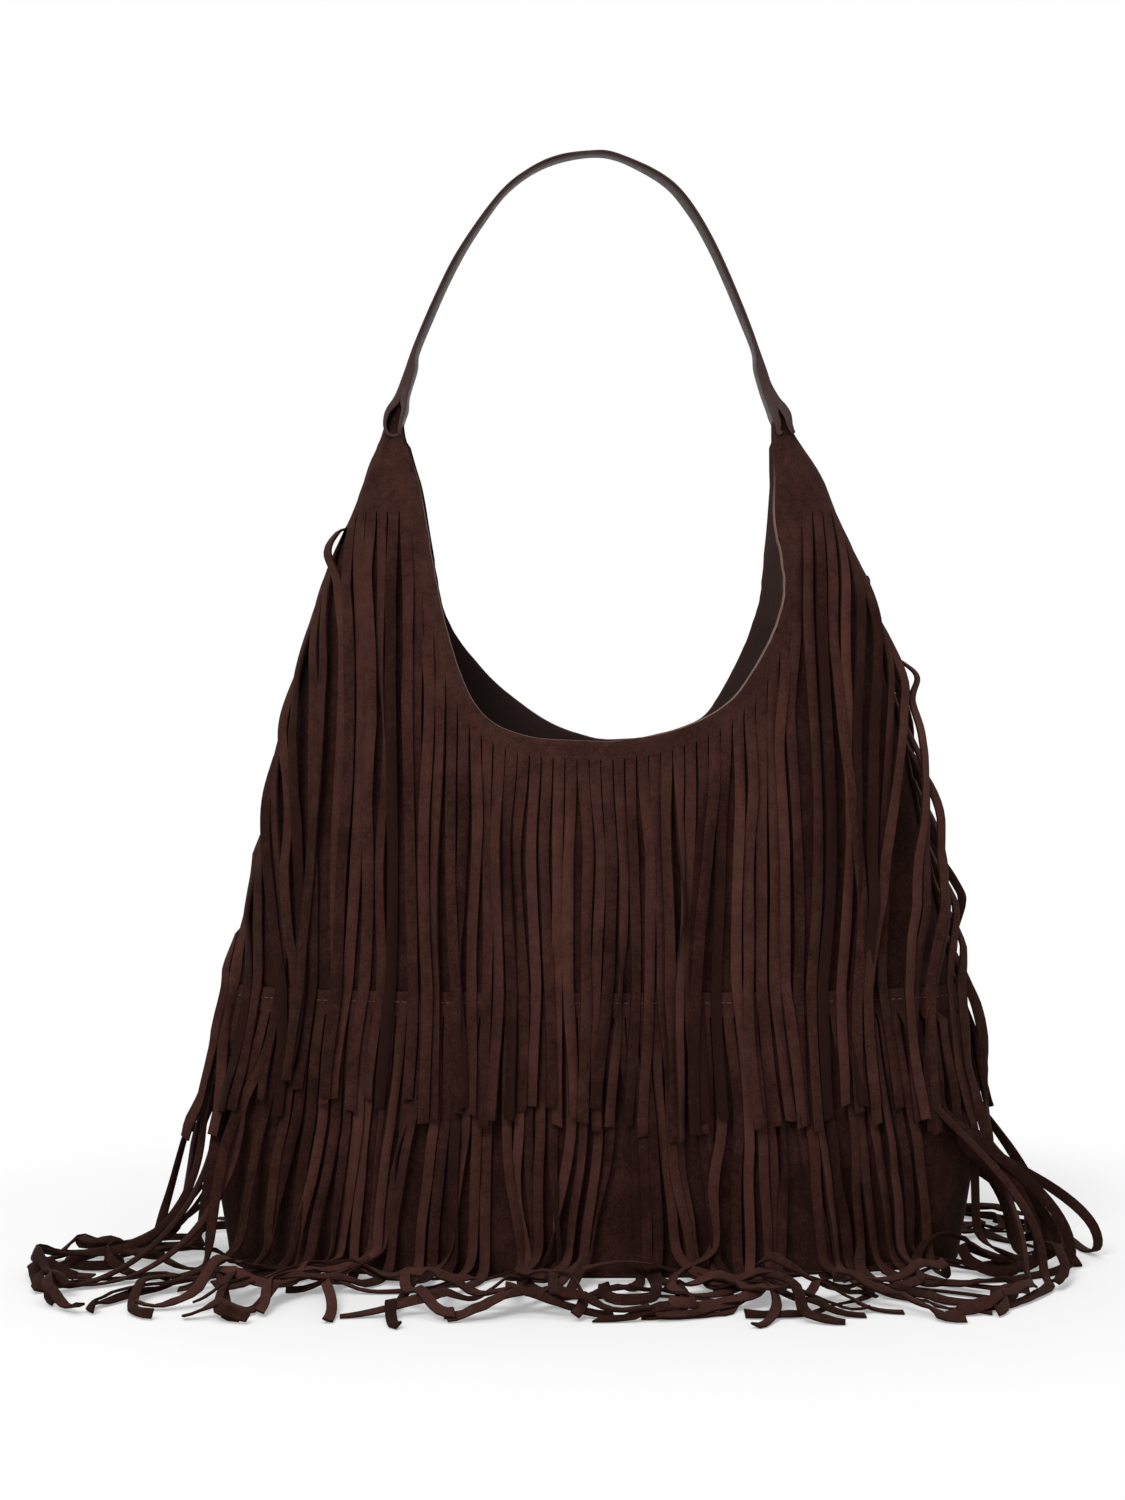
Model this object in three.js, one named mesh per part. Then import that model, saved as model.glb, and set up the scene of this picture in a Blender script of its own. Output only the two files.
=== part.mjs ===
// Fringed suede shoulder bag: an open hobo body with two tiers of long fringe and a two-ply strap.
// Millimetres, +Z up, the front of the bag faces -Y, the floor is Z = 0.
import * as THREE from "three";

// Sizes of the body.
const body_half_width = 192;
const body_half_depth = 54;
const rim_height = 260;
const horn_height = 423;
const base_width_share = 0.95;
const base_depth_share = 0.963;
const roundness = 2.2;

// Thickness of the materials, and the clearances between layers that lie on each other.
const suede = 1.2;
const lining = 0.6;
const strap_leather = 1.5;
const touch = 0.3;
const layer_gap = 0.9;

// Fringe. Rows of a strip are added where it would leave the body by more than the tolerance,
// and a row that would lie closer than this to another one is left out.
const row_tolerance = 0.4;
const shortest_row = 28;
const closest_row = 3;
const strip_pitch = 5.8;
const slit = 0.6;
const rim_margin = 10;
const side_margin = 4;
const horn_plain = 50;
const upper_hem_height = 86;
const hem_side_drop = 18;
const hem_ragged = 4;
const band_height = 139;
const band_width = 12;
const lower_strip_length = 228;
const floor_bend = 16;

// Strap. Its plies take hold of a horn over the length of the overlap, are still apart at the split height
// above its tip, and close further up.
const strap_width = 15;
const strap_split_height = 1.8;
const strap_top = 552;
const strap_overlap = 12;

// Closure patches inside the rim.
const patch_width = 50;
const patch_height = 32;
const patch_drop = 1;
const lining_drop = 1;

// Levels of the body: height as a share of the horns, then shares of the width and the depth,
// and how much of the half width is a flat middle.
const levels = [
  [0.0, base_width_share, base_depth_share, 0.0],
  [0.142, 1.0, 1.0, 0.0],
  [0.329, 0.935, 0.907, 0.0],
  [0.615, 0.8, 0.722, 0.165],
  [0.78, 0.711, 0.537, 0.454],
  [0.898, 0.622, 0.361, 0.653],
  [0.946, 0.57, 0.269, 0.749],
  [0.972, 0.531, 0.231, 0.825],
  [1.0, 0.503, 0.222, 0.874],
];

// The rim on one side: height as a share of the way from the rim's low point to the horn tip,
// and the distance from the middle as a share of the body's half width.
const rim_line = [
  [0.0, 0.0],
  [0.004, 0.092],
  [0.015, 0.174],
  [0.037, 0.229],
  [0.074, 0.281],
  [0.123, 0.334],
  [0.184, 0.38],
  [0.245, 0.409],
  [0.337, 0.433],
  [0.429, 0.446],
  [0.613, 0.452],
  [0.736, 0.456],
  [0.859, 0.463],
  [0.926, 0.475],
  [1.0, 0.486],
];

const colours = {
  suede: new THREE.Color(0x3c2621),
  suede_inside: new THREE.Color(0x33231f),
  fabric: new THREE.Color(0x2a201d),
  leather: new THREE.Color(0x33221f),
};

function between(rows, x, column) {
  let i = 1;
  while (i < rows.length - 1 && rows[i][0] < x) i += 1;
  const a = rows[i - 1];
  const b = rows[i];
  const f = THREE.MathUtils.clamp((x - a[0]) / (b[0] - a[0]), 0, 1);
  return a[column] + (b[column] - a[column]) * f;
}

const level_heights = levels.map((row) => row[0] * horn_height);
const arc_steps = 72;
const known_sections = new Map();

// The front and the back meet at the side seams, each half a clearance short of the middle plane.
const seam_inset = touch / 2;

// The horizontal section of one half of the body at a height: a flat middle, then a rounded quarter
// that ends at the side seam. Each point has its distance along the section from the middle line.
function section(z) {
  const key = z.toFixed(4);
  if (known_sections.has(key)) return known_sections.get(key);
  const share = z / horn_height;
  const half_width = body_half_width * between(levels, share, 1);
  const half_depth = body_half_depth * between(levels, share, 2);
  const flat = half_width * between(levels, share, 3);
  const points = [];
  let run = flat;
  let last = [flat, half_depth];
  for (let i = 0; i <= arc_steps; i += 1) {
    const angle = (Math.PI / 2) * (i / arc_steps);
    const across = Math.pow(Math.sin(angle), 2 / roundness);
    const deep = Math.pow(Math.cos(angle), 2 / roundness);
    const x = flat + (half_width - flat) * across;
    const y = i === arc_steps ? 0 : half_depth * deep;
    run += Math.hypot(x - last[0], y - last[1]);
    const slope_x = Math.pow(across, roundness - 1) / (half_width - flat);
    const slope_y = Math.pow(i === arc_steps ? 0 : deep, roundness - 1) / half_depth;
    const size = Math.hypot(slope_x, slope_y);
    points.push([run, x, y, slope_x / size, slope_y / size]);
    last = [x, y];
  }
  const found = { flat, half_width, half_depth, points, length: run };
  known_sections.set(key, found);
  return found;
}

// A point on the body at a height, a distance along the section from the middle line,
// and so far outside the outer face of the body. The front is side -1 and the back is side 1.
function place(side, along, z, out) {
  const cut = section(z);
  const distance = Math.min(Math.abs(along), cut.length - seam_inset);
  const sign = along < 0 ? -1 : 1;
  let x = distance;
  let y = cut.half_depth;
  let normal_x = 0;
  let normal_y = 1;
  if (distance > cut.flat) {
    x = between(cut.points, distance, 1);
    y = between(cut.points, distance, 2);
    normal_x = between(cut.points, distance, 3);
    normal_y = between(cut.points, distance, 4);
    const size = Math.hypot(normal_x, normal_y);
    normal_x /= size;
    normal_y /= size;
  }
  return new THREE.Vector3(sign * (x + normal_x * out), side * (y + normal_y * out), z);
}

function outward(side, along, z) {
  return place(side, along, z, 1).sub(place(side, along, z, 0)).normalize();
}

// Distance along the section from the middle line to a point x of the half width.
function along_of_x(z, x) {
  const cut = section(z);
  if (x <= cut.flat) return x;
  const rows = cut.points.map((row) => [row[1], row[0]]);
  return between(rows, x, 1);
}

// The outline of a panel above the band of the body, on one half: up the rim from the middle,
// over the horn tip, and down the side seam. Each row is the distance from the middle and the height.
const outline = [];
for (let i = 0; i < rim_line.length - 1; i += 1) {
  const pieces = 2;
  for (let j = 0; j < pieces; j += 1) {
    const f = j / pieces;
    const share = rim_line[i][0] + (rim_line[i + 1][0] - rim_line[i][0]) * f;
    const x = body_half_width * (rim_line[i][1] + (rim_line[i + 1][1] - rim_line[i][1]) * f);
    const z = rim_height + share * (horn_height - rim_height);
    outline.push([along_of_x(z, x), z]);
  }
}
const tip_inner = along_of_x(horn_height, body_half_width * rim_line[rim_line.length - 1][1]);
const tip_outer = section(horn_height).length - seam_inset;
outline.push([tip_inner, horn_height]);
outline.push([tip_outer, horn_height]);
const rim_rows = outline.length - 1;
const seam_steps = 48;
const widest_height = level_heights[1];
for (let i = 1; i <= seam_steps; i += 1) {
  const z = horn_height + (widest_height - horn_height) * (i / seam_steps);
  outline.push([section(z).length - seam_inset, z]);
}

function outline_height(distance) {
  return between(outline, Math.abs(distance), 1);
}

// Lengths along the outline from its middle: by distance from the middle line, and back to points.
const outline_runs = [[0, 0]];
for (let i = 1; i < outline.length; i += 1) {
  const step = Math.hypot(outline[i][0] - outline[i - 1][0], outline[i][1] - outline[i - 1][1]);
  outline_runs.push([outline[i][0], outline_runs[i - 1][1] + step]);
}
const outline_points = outline.map((row, i) => [outline_runs[i][1], row[0], row[1]]);

function rim_along(z) {
  const rows = rim_line.map((row) => [rim_height + row[0] * (horn_height - rim_height), row[1]]);
  return along_of_x(z, body_half_width * between(rows, z, 1));
}

// A skin is a sheet of leather or fabric: an outer face, an inner face and the walls of its cut edges.
class Skin {
  constructor(clockwise) {
    this.outer = [];
    this.inner = [];
    this.faces = [];
    this.clockwise = clockwise;
  }

  vertex(outer, inner) {
    this.outer.push(outer);
    this.inner.push(inner);
    return this.outer.length - 1;
  }

  // A flat face of three corners or more, listed anticlockwise as seen from outside the front.
  face(corners) {
    this.faces.push(this.clockwise ? [...corners].reverse() : corners);
  }

  quad(a, b, c, d) {
    this.face([a, b, c, d]);
  }

  mesh(name, colour, roughness) {
    const triangles = [];
    const edges = new Map();
    const count = this.outer.length;
    for (const corners of this.faces) {
      for (let i = 1; i + 1 < corners.length; i += 1) {
        const [a, b, c] = [corners[0], corners[i], corners[i + 1]];
        triangles.push(a, b, c, a + count, c + count, b + count);
      }
      corners.forEach((from, i) => {
        const to = corners[(i + 1) % corners.length];
        const opposite = `${to}_${from}`;
        if (edges.has(opposite)) edges.delete(opposite);
        else edges.set(`${from}_${to}`, [from, to]);
      });
    }
    for (const [from, to] of edges.values()) {
      triangles.push(to, from, from + count, to, from + count, to + count);
    }
    const positions = [];
    for (const p of [...this.outer, ...this.inner]) positions.push(p.x, p.y, p.z);
    const geometry = new THREE.BufferGeometry();
    geometry.setAttribute("position", new THREE.Float32BufferAttribute(positions, 3));
    geometry.setIndex(triangles);
    return piece(name, geometry, colour, roughness);
  }
}

function piece(name, geometry, colour, roughness) {
  geometry.computeVertexNormals();
  const material = new THREE.MeshStandardMaterial({ color: colour, roughness, metalness: 0 });
  const mesh = new THREE.Mesh(geometry, material);
  mesh.name = name;
  return mesh;
}

// Points spread evenly over the upper edge of a panel, from one side seam over both horns to the other.
function spread(rows, count) {
  const lengths = [0];
  for (let i = 1; i < rows.length; i += 1) {
    lengths.push(lengths[i - 1] + Math.hypot(rows[i][0] - rows[i - 1][0], rows[i][1] - rows[i - 1][1]));
  }
  const table = rows.map((row, i) => [lengths[i], row[0], row[1]]);
  const total = lengths[lengths.length - 1];
  const points = [];
  for (let i = 0; i <= count; i += 1) {
    const run = (total * i) / count;
    points.push([between(table, run, 1), between(table, run, 2)]);
  }
  return points;
}

// A body panel or its lining: a grid from the base up to the rim and the horns.
const panel_half_columns = 14;
const tip_columns = 2;
const panel_fractions = [0, 0.142, 0.329, 0.48, 0.615, 0.7, 0.78, 0.898, 0.946, 0.972, 1];
const panel_rows = panel_fractions.length - 1;

function panel_skin(side, foot, out_outer, out_inner, rim_drop) {
  const skin = new Skin(side > 0);
  const rim = spread(outline.slice(0, rim_rows), panel_half_columns);
  for (let i = 1; i <= tip_columns; i += 1) {
    rim.push([tip_inner + ((tip_outer - tip_inner) * i) / tip_columns, horn_height]);
  }
  const half = rim.map(([distance, height]) => [distance / (section(height).length - seam_inset), height]);
  const top = [...half.slice(1).reverse().map(([share, height]) => [-share, height]), ...half];
  const count = top.length - 1;
  const ids = [];
  for (let i = 0; i <= count; i += 1) {
    const column = [];
    const foot_share = (2 * i) / count - 1;
    for (let j = 0; j <= panel_rows; j += 1) {
      const f = panel_fractions[j];
      const z = foot + (top[i][1] - foot) * f - (j === panel_rows ? rim_drop : 0);
      const share = foot_share + (top[i][0] - foot_share) * f;
      const along = share * (section(z).length - seam_inset);
      column.push(skin.vertex(place(side, along, z, out_outer), place(side, along, z, out_inner)));
    }
    ids.push(column);
  }
  for (let i = 0; i < count; i += 1) {
    for (let j = 0; j < panel_rows; j += 1) {
      skin.quad(ids[i][j], ids[i + 1][j], ids[i + 1][j + 1], ids[i][j + 1]);
    }
  }
  return skin;
}

// The base and its lining are flat plates inside the foot of the body.
function plate(name, height, thickness, out, colour, roughness) {
  const shape = new THREE.Shape();
  const steps = panel_half_columns + tip_columns;
  const around = [];
  const length = section(height).length - seam_inset;
  for (let i = -steps; i < steps; i += 1) around.push(place(-1, (length * i) / steps, height, out));
  for (let i = steps; i > -steps; i -= 1) around.push(place(1, (length * i) / steps, height, out));
  shape.setFromPoints(around.map((p) => new THREE.Vector2(p.x, p.y)));
  const geometry = new THREE.ExtrudeGeometry(shape, { depth: thickness, bevelEnabled: false });
  geometry.translate(0, 0, height);
  return piece(name, geometry, colour, roughness);
}

// The strips of a tier, from the left edge to the right edge, as distances from the middle line.
const band_length = section(band_height).length;
const strip_count = Math.floor((2 * (band_length - seam_inset)) / strip_pitch);
const strip_width = strip_pitch - slit;
const strips = [];
for (let i = 0; i < strip_count; i += 1) {
  const middle = (i - (strip_count - 1) / 2) * strip_pitch;
  strips.push({ middle, turn: Math.abs(middle) / strip_pitch });
}

// A strip hangs straight down above the band. Below it the body widens and the strips spread with it.
function strip_along(middle, z) {
  if (z >= band_height) return middle;
  return (middle * section(Math.max(z, widest_height)).length) / band_length;
}

// The two edges of a strip at a height. A strip is flat across, so it only touches with its middle.
function strip_edges(side, middle, z, out) {
  const along = strip_along(middle, z);
  const centre = place(side, along, z, out);
  const way = outward(side, along, z);
  const across = new THREE.Vector3(side * way.y, -side * way.x, 0).multiplyScalar(strip_width / 2);
  return [centre.clone().sub(across), centre.clone().add(across)].map((inner) => ({
    outer: inner.clone().addScaledVector(way, suede),
    inner,
  }));
}

// Where the slits of the upper tier start: a margin below the rim and beside the seam, and in a level
// line across the horn. An uncapped start knows the point of the outline that it is nearest to.
const cap_height = horn_height - horn_plain;

function slit_start(distance) {
  const reach = Math.abs(distance);
  const found = { height: cap_height, capped: true, run: 0 };
  const tries = 24;
  for (let i = -tries; i <= tries; i += 1) {
    const f = i / tries;
    const shift = f * (f > 0 && reach > tip_inner ? side_margin : rim_margin * 0.8);
    const at = Math.max(reach + shift, 0);
    const height = outline_height(at) - rim_margin * Math.sqrt(1 - f * f);
    if (height < found.height) {
      found.height = height;
      found.capped = false;
      found.run = Math.sign(distance) * between(outline_runs, at, 1);
    }
  }
  return found;
}

// The upper tier lies on the panel at the rim, and over the lower tier below the band.
function upper_out(z) {
  const f = THREE.MathUtils.clamp((rim_height - z) / (rim_height - band_height), 0, 1);
  return layer_gap + f * (suede + layer_gap);
}

// The heights at which a strip needs a row to stay on the body, from its top to its end.
function strip_rows(side, middle, top, end) {
  const rows = [];
  const split = (high, low) => {
    const half = (high + low) / 2;
    const chord = place(side, strip_along(middle, high), high, 0)
      .add(place(side, strip_along(middle, low), low, 0))
      .multiplyScalar(0.5);
    const off = chord.distanceTo(place(side, strip_along(middle, half), half, 0));
    if (off > row_tolerance && high - low > shortest_row) {
      split(high, half);
      split(half, low);
    } else {
      rows.push(low);
    }
  };
  const apart = level_heights.filter((z) => Math.abs(z - band_height) > closest_row);
  const inner = [band_height, ...apart].filter((z) => z < top - closest_row && z > end + closest_row);
  const breaks = [top, ...inner.sort((a, b) => b - a), end];
  for (let i = 1; i < breaks.length; i += 1) split(breaks[i - 1], breaks[i]);
  return rows;
}

function upper_fringe(side) {
  const skin = new Skin(side > 0);
  const spot = (along, z) => {
    const out = upper_out(z);
    return skin.vertex(place(side, along, z, out + suede), place(side, along, z, out));
  };
  const on_outline = (run) => {
    const along = between(outline_points, Math.abs(run), 1);
    return spot(Math.sign(run) * along, between(outline_points, Math.abs(run), 2));
  };
  const starts = strips.map((strip) => slit_start(strip.middle));
  const feet = strips.map((strip, i) => {
    const edges = strip_edges(side, strip.middle, starts[i].height, upper_out(starts[i].height));
    return edges.map((edge) => skin.vertex(edge.outer, edge.inner));
  });
  // The horns, from the level line of their slits up to the tip that the strap holds.
  const rows = [...level_heights.filter((z) => z > cap_height + closest_row && z < horn_height), horn_height];
  const corner = {};
  for (const sign of [-1, 1]) {
    const held = strips.map((strip, i) => i).filter((i) => starts[i].capped && strips[i].middle * sign > 0);
    const near = rim_along(cap_height);
    const far = section(cap_height).length - seam_inset;
    const rim_corner = spot(sign * near, cap_height);
    const seam_corner = spot(sign * far, cap_height);
    corner[sign] = { rim_corner, seam_corner };
    let row = [];
    let shares = [];
    for (const i of held) {
      row.push(...feet[i]);
      const half = strip_width / 2;
      shares.push(strips[i].middle - half, strips[i].middle + half);
    }
    row = sign < 0 ? [seam_corner, ...row, rim_corner] : [rim_corner, ...row, seam_corner];
    shares = shares.map((along) => (Math.abs(along) - near) / (far - near));
    shares = sign < 0 ? [1, ...shares, 0] : [0, ...shares, 1];
    for (const z of rows) {
      const from = rim_along(z);
      const to = section(z).length - seam_inset;
      const next = shares.map((share) => spot(sign * (from + (to - from) * share), z));
      for (let i = 0; i + 1 < row.length; i += 1) skin.quad(row[i], row[i + 1], next[i + 1], next[i]);
      row = next;
    }
  }
  // The margin between the slits and the rim or the seam.
  const cap_run = (sign, name) => {
    const along = name === "rim_corner" ? rim_along(cap_height) : section(cap_height).length - seam_inset;
    return sign * between(outline_runs, along, 1);
  };
  const reach_share = strip_width / strip_pitch / 2;
  const tops = strips.map((strip, i) => {
    if (starts[i].capped) return null;
    return [i - 1, i + 1].map((other) => {
      const own = starts[i].run;
      let run = 2 * own - (starts[2 * i - other] || starts[i]).run;
      if (starts[other] && !starts[other].capped) run = starts[other].run;
      if (starts[other] && starts[other].capped) {
        const sign = Math.sign(strip.middle);
        run = cap_run(sign, (other - i) * sign > 0 ? "rim_corner" : "seam_corner");
      }
      return on_outline(own + (run - own) * reach_share);
    });
  });
  strips.forEach((strip, i) => {
    if (tops[i]) skin.quad(feet[i][0], feet[i][1], tops[i][1], tops[i][0]);
    if (i + 1 === strips.length) return;
    if (tops[i] && tops[i + 1]) {
      skin.quad(feet[i][1], feet[i + 1][0], tops[i + 1][0], tops[i][1]);
    } else if (tops[i] || tops[i + 1]) {
      const sign = Math.sign(strip.middle);
      const towards_middle = tops[i] ? sign > 0 : sign < 0;
      const shared = towards_middle ? corner[sign].rim_corner : corner[sign].seam_corner;
      if (tops[i]) skin.quad(feet[i][1], feet[i + 1][0], shared, tops[i][1]);
      else skin.quad(feet[i][1], feet[i + 1][0], tops[i + 1][0], shared);
    }
  });
  // The strips below them.
  const reach = strips[strips.length - 1].middle;
  strips.forEach((strip, i) => {
    const drop = hem_side_drop * Math.pow(Math.abs(strip.middle) / reach, 3);
    const hem = upper_hem_height - drop + hem_ragged * Math.sin(strip.turn * 2.4);
    let [left, right] = feet[i];
    for (const z of strip_rows(side, strip.middle, starts[i].height, hem)) {
      const [a, b] = strip_edges(side, strip.middle, z, upper_out(z));
      const next_left = skin.vertex(a.outer, a.inner);
      const next_right = skin.vertex(b.outer, b.inner);
      skin.quad(next_left, next_right, right, left);
      left = next_left;
      right = next_right;
    }
  });
  return skin.mesh(side < 0 ? "front_upper_fringe" : "back_upper_fringe", colours.suede, 0.95);
}

// The lower tier: a band sewn to the panel, and strips that hang over the widest part of the body,
// bend at the floor and lie out over it.
function lower_fringe(side) {
  const skin = new Skin(side > 0);
  const out = layer_gap;
  const slit_top = band_height - band_width;
  const ids = strips.map((strip) => {
    const band = strip_edges(side, strip.middle, band_height, out);
    const start = strip_edges(side, strip.middle, slit_top, out);
    const wide = strip_edges(side, strip.middle, widest_height, out);
    const way = outward(side, strip_along(strip.middle, widest_height), widest_height);
    const length = lower_strip_length + hem_ragged * Math.sin(strip.turn * 1.9);
    const bent = Math.SQRT2 * floor_bend;
    const lying = Math.max(length - band_height + floor_bend - bent, floor_bend);
    const stretch = (widest_height - floor_bend) / (slit_top - widest_height);
    return [0, 1].map((edge) => {
      const foot = {};
      for (const face of ["outer", "inner"]) {
        const step = wide[edge][face].clone().sub(start[edge][face]);
        foot[face] = wide[edge][face].clone().addScaledVector(step, stretch);
      }
      const from = foot.inner;
      const flat = (reach, z) => from.clone().addScaledVector(way, reach).setZ(z);
      return [
        band[edge],
        start[edge],
        foot,
        { outer: flat(floor_bend + suede / 2, suede), inner: flat(floor_bend, 0) },
        { outer: flat(floor_bend + lying, suede), inner: flat(floor_bend + lying, 0) },
      ].map((row) => skin.vertex(row.outer, row.inner));
    });
  });
  ids.forEach(([left, right], k) => {
    for (let j = 0; j + 1 < left.length; j += 1) skin.quad(left[j + 1], right[j + 1], right[j], left[j]);
    if (k + 1 === ids.length) return;
    const next = ids[k + 1][0];
    skin.quad(right[1], next[1], next[0], right[0]);
  });
  return skin.mesh(side < 0 ? "front_lower_fringe" : "back_lower_fringe", colours.suede, 0.95);
}

// The middle line of the strap on one half, as shares of the rise above the horn tips and of the half width
// between the horn tips, from the join of the plies to the top.
const strap_line = [
  [0.115, 0.955],
  [0.245, 0.885],
  [0.435, 0.78],
  [0.625, 0.655],
  [0.735, 0.56],
  [0.835, 0.455],
  [0.915, 0.33],
  [0.97, 0.185],
  [1.0, 0.0],
];

function smooth(points, steps) {
  const curve = new THREE.CatmullRomCurve3(points, false, "centripetal");
  const rows = [];
  for (let i = 0; i <= steps; i += 1) rows.push([curve.getPoint(i / steps), curve.getTangent(i / steps)]);
  return rows;
}

// One ply of the strap. The two plies lie on each other, and part at their ends to hold a horn tip between
// them: one outside the horn, one inside it.
function strap_ply(name, inside) {
  const tip_x = body_half_width * rim_line[rim_line.length - 1][1];
  const end_height = horn_height - strap_overlap;
  const half = strap_leather / 2;
  const outside_of = (z) => section(z).half_width + upper_out(z) + suede + touch + half;
  const inside_of = (z) => place(1, rim_along(z), z, 0).x - suede - touch - lining - touch - half;
  const face = inside ? inside_of : outside_of;
  const held = [
    new THREE.Vector3(face(end_height), 0, end_height),
    new THREE.Vector3(face(horn_height), 0, horn_height + strap_split_height),
  ];
  const rise = strap_top - strap_leather - touch / 2 - horn_height;
  const middle = strap_line.map(([up, across]) => new THREE.Vector3(across * tip_x, 0, horn_height + up * rise));
  const mirrored = middle.slice(0, -1).reverse().map((p) => new THREE.Vector3(-p.x, 0, p.z));
  const shift = (inside ? -1 : 1) * (strap_leather + touch) * 0.5;
  const arch = smooth([...middle, ...mirrored], 40).map(([p, t]) => {
    return new THREE.Vector3(p.x + t.z * shift, 0, p.z - t.x * shift);
  });
  const other_end = held.map((p) => new THREE.Vector3(-p.x, 0, p.z)).reverse();
  const one = [];
  const other = [];
  for (const [p, t] of smooth([...held, ...arch, ...other_end], 60)) {
    const across = new THREE.Vector2(t.z, -t.x).normalize().multiplyScalar(half);
    one.push(new THREE.Vector2(p.x + across.x, p.z + across.y));
    other.push(new THREE.Vector2(p.x - across.x, p.z - across.y));
  }
  const shape = new THREE.Shape([...one, ...other.reverse()]);
  const geometry = new THREE.ExtrudeGeometry(shape, { depth: strap_width, bevelEnabled: false });
  geometry.rotateX(Math.PI / 2);
  geometry.translate(0, strap_width / 2, 0);
  return piece(name, geometry, colours.leather, 0.5);
}

// A patch of suede inside the rim, over the lining, where the bag closes.
function closure_patch(side) {
  const skin = new Skin(side > 0);
  const out = -suede - touch - lining - touch;
  const columns = 8;
  const top = rim_height - patch_drop;
  const rows = [top - patch_height, top - patch_height / 2, top];
  const ids = rows.map((z) => {
    const row = [];
    for (let i = 0; i <= columns; i += 1) {
      const along = patch_width * (i / columns - 0.5);
      row.push(skin.vertex(place(side, along, z, out), place(side, along, z, out - suede)));
    }
    return row;
  });
  for (let j = 0; j + 1 < ids.length; j += 1) {
    for (let i = 0; i < columns; i += 1) skin.quad(ids[j][i], ids[j][i + 1], ids[j + 1][i + 1], ids[j + 1][i]);
  }
  return skin.mesh(side < 0 ? "front_closure_patch" : "back_closure_patch", colours.suede_inside, 0.95);
}

const bag = new THREE.Group();
bag.name = "fringed_suede_bag";
const wall_foot = suede + touch;
const lining_out = -suede - touch;
bag.add(plate("base_panel", 0, suede, 0, colours.suede, 0.95));
bag.add(plate("base_lining", wall_foot, lining, lining_out - lining - touch, colours.fabric, 0.8));
for (const [side, word] of [[-1, "front"], [1, "back"]]) {
  const panel = panel_skin(side, wall_foot, 0, -suede, 0);
  const inside = panel_skin(side, wall_foot, lining_out, lining_out - lining, lining_drop);
  bag.add(panel.mesh(`${word}_panel`, colours.suede_inside, 0.95));
  bag.add(inside.mesh(`${word}_lining`, colours.fabric, 0.8));
  bag.add(closure_patch(side));
  bag.add(lower_fringe(side));
  bag.add(upper_fringe(side));
}
bag.add(strap_ply("strap_outer_ply", false));
bag.add(strap_ply("strap_inner_ply", true));

export default bag;
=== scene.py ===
"""Fringed suede shoulder bag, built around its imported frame.

An open pouch of suede with a fabric lining carries two tiers of long fringe on its front and its back,
and hangs from a narrow leather strap. Every size is in metres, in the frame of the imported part: the front
of the bag faces -Y and the floor is Z = 0. "Along" is the distance from the middle line of the front or the
back, measured over its face, and "out" is the distance from that face.
"""

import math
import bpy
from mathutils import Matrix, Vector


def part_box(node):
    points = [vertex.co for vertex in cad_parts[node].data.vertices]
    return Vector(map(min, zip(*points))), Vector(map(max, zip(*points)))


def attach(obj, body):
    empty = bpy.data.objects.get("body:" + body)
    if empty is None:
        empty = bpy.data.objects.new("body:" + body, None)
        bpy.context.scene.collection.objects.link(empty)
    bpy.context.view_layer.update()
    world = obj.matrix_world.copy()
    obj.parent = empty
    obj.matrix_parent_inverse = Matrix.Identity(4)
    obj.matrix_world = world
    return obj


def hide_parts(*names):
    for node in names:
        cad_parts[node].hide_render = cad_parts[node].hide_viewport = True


bl_info = {
    "name": "Fringed suede shoulder bag",
    "version": (1, 0, 0),
    "blender": (4, 5, 0),
    "location": "3D View > Sidebar > Suede bag",
    "description": "Builds the visible sheets, fringe, strap and stitching of a fringed suede shoulder bag",
    "category": "Object",
}

import bpy
import numpy as np
from mathutils import Matrix, Vector
from mathutils.geometry import delaunay_2d_cdt

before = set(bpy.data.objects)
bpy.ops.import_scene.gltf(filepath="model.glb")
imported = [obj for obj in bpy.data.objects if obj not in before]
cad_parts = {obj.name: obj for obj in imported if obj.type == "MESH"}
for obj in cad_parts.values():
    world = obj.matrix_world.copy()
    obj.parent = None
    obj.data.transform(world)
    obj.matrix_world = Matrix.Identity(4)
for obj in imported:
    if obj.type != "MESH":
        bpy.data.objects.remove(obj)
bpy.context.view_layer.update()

MM = 0.001
SIDES = {"front": -1, "back": 1}
UPPER_SEED = {"front": 11, "back": 12}
LOWER_SEED = {"front": 21, "back": 22}

# Body. Each level has its height as a share of the horns, then shares of the half width and the half
# depth, and how much of the half width is a flat middle.
BODY_HALF_WIDTH = 192 * MM
BODY_HALF_DEPTH = 54 * MM
ROUNDNESS = 2.2
HORN_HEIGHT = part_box("front_panel")[1].z
BAND_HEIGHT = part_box("front_lower_fringe")[1].z
BODY_LEVELS = np.array(
    [
        (0.0, 0.95, 0.963, 0.0),
        (0.142, 1.0, 1.0, 0.0),
        (0.329, 0.935, 0.907, 0.0),
        (0.615, 0.8, 0.722, 0.165),
        (0.78, 0.711, 0.537, 0.454),
        (0.827, 0.675, 0.473, 0.527),
        (0.882, 0.617, 0.388, 0.628),
        (0.898, 0.604, 0.361, 0.653),
        (0.922, 0.585, 0.305, 0.701),
        (0.946, 0.5605, 0.25, 0.749),
        (0.968, 0.529, 0.17, 0.817),
        (1.0, 0.503, 0.1, 0.874),
    ]
)
WIDEST = BODY_LEVELS[1, 0] * HORN_HEIGHT
# Each level is the mean of three heights this far apart.
LEVEL_BLUR = 0.012

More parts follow.
